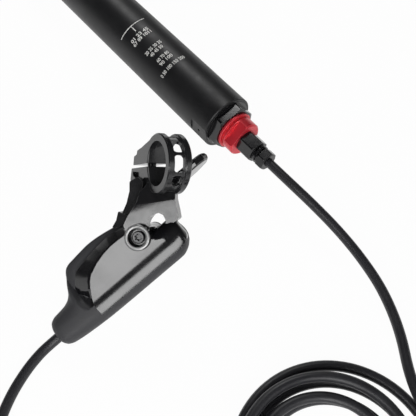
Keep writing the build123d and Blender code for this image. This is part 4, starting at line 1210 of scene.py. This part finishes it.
# Pivot screw with a stepped washer and a six-lobed socket
LOBES = 6
LOBE_STEPS = 8
SOCKET_RADIUS = 1.75
SOCKET_LOBE = 0.7
SOCKET_LEVELS = (-1.9, 1.0)
SCREW_HEAD = [(-3.0, 0), (-3.0, 2.9), (-0.7, 2.9), (-0.35, 2.5), (-0.35, 0)]
SCREW_SHANK = [(-33.4, 0), (-33.4, 2.5), (-3.0, 2.5), (-3.0, 0)]
SCREW_EASE = 0.15
WASHER = [
    (-3.4, 0), (-3.4, 4.25), (-1.2, 4.25), (-0.9, 4.0), (-1.2, 3.75), (-1.9, 3.65), (-1.9, 3.4),
    (-2.5, 3.2), (-2.5, 0),
]
WASHER_EASE = 0.1


def lobed(radius, depth):
    """A socket outline with rounded lobes."""
    made = []
    for step in range(LOBES * LOBE_STEPS):
        angle = 2 * math.pi * step / (LOBES * LOBE_STEPS)
        out = radius - depth / 2 + depth / 2 * math.cos(LOBES * angle)
        made.append((out * math.cos(angle), out * math.sin(angle)))
    return made


class SEATPOST_OT_pivot_screw(bpy.types.Operator):
    """Make the pivot screw with its stepped washer"""

    bl_idname = "seatpost.pivot_screw"
    bl_label = "Pivot screw"

    def execute(self, context):
        head = combined(turned(SCREW_HEAD), block(lobed(SOCKET_RADIUS, SOCKET_LOBE), *SOCKET_LEVELS))
        screw = combined(eased(head, SCREW_EASE), turned(SCREW_SHANK), operation="UNION")
        place("pivot_screw", screw, REMOTE, "post", "black_steel", ["pivot_bolt"])
        place("pivot_washer", eased(turned(WASHER), WASHER_EASE), REMOTE, "post", "black_steel")
        return {"FINISHED"}


# Bar clamp: two bands round the bar, a windowed web between them, two jaws and a bracket.
# The bands, the web and the jaws are drawn in the ring's frame, the bracket in the remote's
BAR_RADIUS = 11.1
BAND_RADIUS = 13.5
BAND_WIDTH = 3.0
BAND_EDGE = 0.5
BORE_STOCK = 1.0
WEB_RADIUS = 12.2
WEB_LAP = 1.0
WEB_RISE = 0.4
RING_WIDTH = 11.3

# Each window's middle and half its spread, in degrees round the ring
WINDOWS = [(216, 16), (177, 19), (138, 15)]
WINDOW_ROUND = 2.0
WINDOW_GAP = 0.15
WINDOW_LEVELS = (5, 20)
SPLIT = 1.4
SPLIT_START = BAR_RADIUS - 3
SPLIT_END = 30
SPLIT_LEVELS = (-20, 5)
JAW_UPPER = [
    (9.0, -0.7), (26.4, -0.7), (25.6, -4.8), (22.4, -5.6), (21.6, -7.4), (16.6, -8.4), (12.5, -9.6),
    (6.0, -11.4),
]
JAW_LOWER = [(9.0, 0.7), (28.6, 0.7), (30.2, 6.0), (28.6, 7.8), (19.9, 10.2), (14.6, 11.2), (6.0, 11.4)]
JAW_ROUND = 0.5
UPPER_SET_BACK = 0.2
LOWER_SET_BACK = 0.25
POCKET = [(27.2, 2.2), (14.0, 3.4), (13.4, 5.3), (17.5, 7.6), (21.6, 6.5), (27.0, 4.2)]
POCKET_LEVELS = (-1.8, 1)
CORNER_STEPS = 3
BORE_WAY = [(-60, 0), (-60, BAR_RADIUS), (40, BAR_RADIUS), (40, 0)]
SCREW_WAY_RADIUS = 3.5
SCREW_WAY_LEVELS = (4.6, 20)
SCREW_WAY_PLACE = 17
BRACKET = [
    (-3.6, 3.8), (-2.2, 8.6), (1.9, 10.4), (9.2, 12.6), (12.8, 15.4), (18.5, 16.5), (26.5, 8.0),
    (25.3, 4.2), (23.6, 2.2), (21.5, -1.8), (19.4, -5.4), (15.4, -5.2), (14.0, -3.6), (5.2, 1.0),
    (3.6, -3.4), (0.0, -4.9), (-3.6, -3.4),
]
BRACKET_ROUND = 1.4
BRACKET_LEVELS = (-9.0, -2.0)
BRACKET_WINDOW = [
    (5.6, 1.6), (8.2, 3.1), (11.2, 3.7), (14.0, 2.4), (14.9, 0.4), (14.2, -2.4), (12.2, -4.2), (9.0, -1.4),
]
BRACKET_WINDOW_ROUND = 1.0
BRACKET_WINDOW_LEVELS = (-20, 5)
ARM = [
    (11.4, 23.0), (8.6, 19.6), (4.0, 16.2), (-1.4, 13.6), (-0.6, 10.6), (3.4, 11.2), (7.3, 13.0),
    (9.8, 14.6), (16.0, 18.0), (16.0, 22.0),
]
ARM_ROUND = 1.2
ARM_LEVELS = (-14.6, -7.6)
ARM_LEAN = 0.14
LUG = [(-8.4, 11.9), (-4.6, 13.2), (-1.2, 15.8), (1.0, 11.6), (-2.2, 9.6), (-6.0, 9.8)]
LUG_ROUND = 0.6
LUG_LEVELS = (-14.9, -6.6)

# The bracket's neck falls away past a line: the line's place, its run, and the way across it
NECK_LINE = ((9.1, 11.1, -2.0), (0.851, -0.524, 0), (0.524, 0.851, 0))
NECK_FALL = [(0, 0), (12, -5.0), (12, 8), (0, 8)]
NECK_FALL_LEVELS = (-8, 30)
PIVOT_BORE_RADIUS = 2.55
PIVOT_BORE_LEVELS = (-40, 10)
BARREL_ROOM = [(-38, 0), (-38, 8.7), (13.5, 8.7), (13.5, 0)]

# Below its top level this room is cut from the clamp's rear, so that the pressed lever clears it
LEVER_ROOM = [(-20, 0), (60, 0), (60, 60), (-20, 60)]
LEVER_ROOM_LEVELS = (-60, -25.7)
CLAMP_SHARP = 28


def bar_ring():
    """The two bands and the windowed web between them."""
    inside = BAR_RADIUS - BORE_STOCK
    front = turned([
        (0, inside), (0, BAND_RADIUS - BAND_EDGE), (-BAND_EDGE, BAND_RADIUS),
        (BAND_EDGE - BAND_WIDTH, BAND_RADIUS), (-BAND_WIDTH, BAND_RADIUS - BAND_EDGE),
        (-BAND_WIDTH, inside),
    ])
    rear = moved(front.copy(), Matrix.Translation((0, 0, BAND_WIDTH - RING_WIDTH)))
    web = turned([
        (-WEB_LAP, inside + WEB_RISE), (-WEB_LAP, WEB_RADIUS), (WEB_LAP - RING_WIDTH, WEB_RADIUS),
        (WEB_LAP - RING_WIDTH, inside + WEB_RISE),
    ])
    for angle, spread in WINDOWS:
        half = BAR_RADIUS * math.radians(spread)
        tall = (RING_WIDTH - 2 * BAND_WIDTH) / 2 - WINDOW_GAP
        corners = [(-half, -tall), (half, -tall), (half, tall), (-half, tall)]
        turn = math.radians(angle)
        way = (math.cos(turn), math.sin(turn), 0)
        at = frame_of((0, 0, -RING_WIDTH / 2), (-way[1], way[0], 0), way)
        web = combined(web, moved(block(rounded(corners, WINDOW_ROUND), *WINDOW_LEVELS), at))
    return combined(web, front, rear, operation="UNION")


def split_ring():
    """The ring with its jaws, the screw's way and the split between them."""
    upper = rounded(JAW_UPPER, JAW_ROUND, CORNER_STEPS)
    upper = block(upper, UPPER_SET_BACK - RING_WIDTH, -UPPER_SET_BACK)
    lower = rounded(JAW_LOWER, JAW_ROUND, CORNER_STEPS)
    lower = block(lower, LOWER_SET_BACK - RING_WIDTH, -LOWER_SET_BACK)
    pocket = block(rounded(POCKET, JAW_ROUND, CORNER_STEPS), *POCKET_LEVELS)
    jaws = combined(upper, combined(lower, pocket), operation="UNION")
    screw_frame = frame_of((SCREW_WAY_PLACE, 0, -RING_WIDTH / 2), (0, 0, 1), (0, -1, 0))
    screw_way = moved(block(circle(SCREW_WAY_RADIUS), *SCREW_WAY_LEVELS), screw_frame)
    ring = combined(bar_ring(), combined(jaws, screw_way), operation="UNION")
    gap = [
        (SPLIT_START, -SPLIT / 2), (SPLIT_END, -SPLIT / 2), (SPLIT_END, SPLIT / 2),
        (SPLIT_START, SPLIT / 2),
    ]
    return combined(ring, block(gap, *SPLIT_LEVELS))


def leaning(outline, low, high):
    """A block whose top leans down to the body's left side."""
    first = min(y for _, y in outline)
    return stacked([
        [(x, y, low) for x, y in outline],
        [(x, y, high - ARM_LEAN * (y - first)) for x, y in outline],
    ])


def bar_clamp():
    """The whole clamp with its bracket, in the remote's frame."""
    to_remote = REMOTE.inverted() @ RING
    ring = moved(split_ring(), to_remote)
    bracket = block(rounded(BRACKET, BRACKET_ROUND), *BRACKET_LEVELS)
    fall = moved(block(NECK_FALL, *NECK_FALL_LEVELS), frame_of(NECK_LINE[0], NECK_LINE[2], NECK_LINE[1]))
    bracket = combined(bracket, fall)
    arm = leaning(rounded(ARM, ARM_ROUND), *ARM_LEVELS)
    lug = leaning(rounded(LUG, LUG_ROUND, CORNER_STEPS), *LUG_LEVELS)
    plates = combined(bracket, arm, lug, operation="UNION")
    window = block(rounded(BRACKET_WINDOW, BRACKET_WINDOW_ROUND), *BRACKET_WINDOW_LEVELS)
    plates = combined(plates, window, moved(turned(BORE_WAY), to_remote))
    whole = combined(ring, plates, operation="UNION")
    lever_room = block(LEVER_ROOM, *LEVER_ROOM_LEVELS)
    pivot_bore = block(circle(PIVOT_BORE_RADIUS), *PIVOT_BORE_LEVELS)
    return combined(whole, lever_room, pivot_bore, moved(turned(BARREL_ROOM), ALONG_BORE))


class SEATPOST_OT_bar_clamp(bpy.types.Operator):
    """Make the split bar clamp with its windows, jaws and bracket"""

    bl_idname = "seatpost.bar_clamp"
    bl_label = "Bar clamp"

    def execute(self, context):
        ease = context.scene.seatpost_sizes.edge_round / MM
        clamp = eased(bar_clamp(), ease, angle=CLAMP_SHARP)
        place("bar_clamp_ring", clamp, REMOTE, "post", "grey_machined", ["bar_clamp"])
        return {"FINISHED"}


# Thumb lever: a hub, an arm below the bracket and a curved paddle
PADDLE = [
    (8.0, -26.5), (26.0, -26.5), (31.0, -28.4), (38.0, -28.6), (42.4, -31.0), (44.0, -36.5), (42.0, -43.5),
    (34.5, -49.0), (24.0, -50.5), (12.0, -47.5), (7.0, -38.0),
]
PADDLE_ROUND = 3.0

# The paddle's levels through its thickness, each with how far its outline lies inside
PADDLE_LEVELS = [(-14.3, 1.3), (-13.6, 0.4), (-12.25, 0.0), (-10.9, 0.4), (-10.2, 1.3)]
LEVER_ARM = [
    (-4.4, -3.0), (-0.5, -3.0), (1.0, 6.2), (9.0, 9.2), (27.0, 10.0), (27.0, 12.8), (2.0, 12.2),
    (-5.0, 5.0),
]
LEVER_ARM_ROUND = 1.5
LEVER_ARM_LEVELS = (-31, -26.6)
HUB = [(-30.9, 2.6), (-30.9, 4.2), (-30.6, 4.6), (-17.3, 4.6), (-17.05, 4.2), (-17.05, 2.6)]
LOBE = [(-3.4, -13.6), (3.4, -13.6), (3.4, 1), (-3.4, 1)]
LOBE_ROUND = 3.2
LOBE_LEVELS = (-21, -17)
LEVER_EASE = 0.45
LEVER_SHARP = 25


def thumb_lever():
    """The lever in the remote's frame."""
    lobe = block(rounded(LOBE, LOBE_ROUND), *LOBE_LEVELS)
    arm = block(rounded(LEVER_ARM, LEVER_ARM_ROUND), *LEVER_ARM_LEVELS)
    edge = rounded(PADDLE, PADDLE_ROUND)
    paddle = stacked([[(x, z, level) for x, z in inset(edge, by)] for level, by in PADDLE_LEVELS])
    upright = frame_of((0, 0, 0), (1, 0, 0), (0, -1, 0))
    return combined(turned(HUB), lobe, arm, moved(paddle, upright), operation="UNION")


class SEATPOST_OT_thumb_lever(bpy.types.Operator):
    """Make the thumb lever with its paddle"""

    bl_idname = "seatpost.thumb_lever"
    bl_label = "Thumb lever"

    def execute(self, context):
        lever = eased(thumb_lever(), LEVER_EASE, angle=LEVER_SHARP)
        place("thumb_paddle", lever, REMOTE, "lever", "gloss_black_anodised", ["lever"])
        return {"FINISHED"}


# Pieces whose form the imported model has: each one's node and how far its edges are rounded
EASED = {
    "collar_ring": ("collar", 0.3), "saddle_head": ("seat_head", 0.4),
    "rail_cradle_lower": ("lower_cradle", 0.4), "rail_cradle_upper": ("upper_cradle", 0.4),
    "rail_bolts": ("cradle_bolts", 0.25), "rail_nuts": ("barrel_nuts", 0.25),
    "lid": ("reservoir_cover", 0.2), "lid_screws": ("cover_screws", 0.15),
    "bleed_plug": ("bleed_screw", 0.15), "clamp_screw": ("clamp_bolt", 0.2),
    "pivot_hex_nut": ("pivot_nut", 0.2),
}


class SEATPOST_OT_eased_pieces(bpy.types.Operator):
    """Round the edges of the machined and cast pieces"""

    bl_idname = "seatpost.eased_pieces"
    bl_label = "Machined pieces"

    def execute(self, context):
        slots = {row["node"]: row["material_slot"] for row in frame["record"]["subparts"]}
        for name, (node, width) in EASED.items():
            body = frame["nodes"][node]["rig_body"]
            place(name, eased(node_form(node), width), WHOLE, body, slots[node], [node])
        return {"FINISHED"}


class SEATPOST_PT_panel(bpy.types.Panel):
    """The seatpost's sizes, finishes and pieces"""

    bl_label = "Dropper seatpost"
    bl_idname = "SEATPOST_PT_panel"
    bl_space_type = "VIEW_3D"
    bl_region_type = "UI"
    bl_category = "Seatpost"

    def draw(self, context):
        for group in (context.scene.seatpost_sizes, context.scene.seatpost_finishes):
            for name in group.__annotations__:
                self.layout.prop(group, name)
        for operator in OPERATORS:
            self.layout.operator(operator.bl_idname)


OPERATORS = [
    SEATPOST_OT_studio, SEATPOST_OT_hose, SEATPOST_OT_node_finishes, SEATPOST_OT_lower_tube,
    SEATPOST_OT_tube_print, SEATPOST_OT_foot_fittings, SEATPOST_OT_remote_shell, SEATPOST_OT_pivot_screw,
    SEATPOST_OT_bar_clamp, SEATPOST_OT_thumb_lever, SEATPOST_OT_eased_pieces,
]
CLASSES = [SeatpostSizes, SeatpostFinishes, *OPERATORS, SEATPOST_PT_panel]


def register():
    for kind in CLASSES:
        bpy.utils.register_class(kind)
    bpy.types.Scene.seatpost_sizes = PointerProperty(type=SeatpostSizes)
    bpy.types.Scene.seatpost_finishes = PointerProperty(type=SeatpostFinishes)


def unregister():
    del bpy.types.Scene.seatpost_sizes
    del bpy.types.Scene.seatpost_finishes
    for kind in reversed(CLASSES):
        bpy.utils.unregister_class(kind)


def main():
    """Builds everything."""
    register()
    bpy.ops.seatpost.studio()
    bpy.ops.seatpost.hose()
    bpy.ops.seatpost.node_finishes()
    bpy.ops.seatpost.lower_tube()
    bpy.ops.seatpost.tube_print()
    bpy.ops.seatpost.foot_fittings()
    bpy.ops.seatpost.remote_shell()
    bpy.ops.seatpost.pivot_screw()
    bpy.ops.seatpost.bar_clamp()
    bpy.ops.seatpost.thumb_lever()
    bpy.ops.seatpost.eased_pieces()


if __name__ == "__main__":
    main()
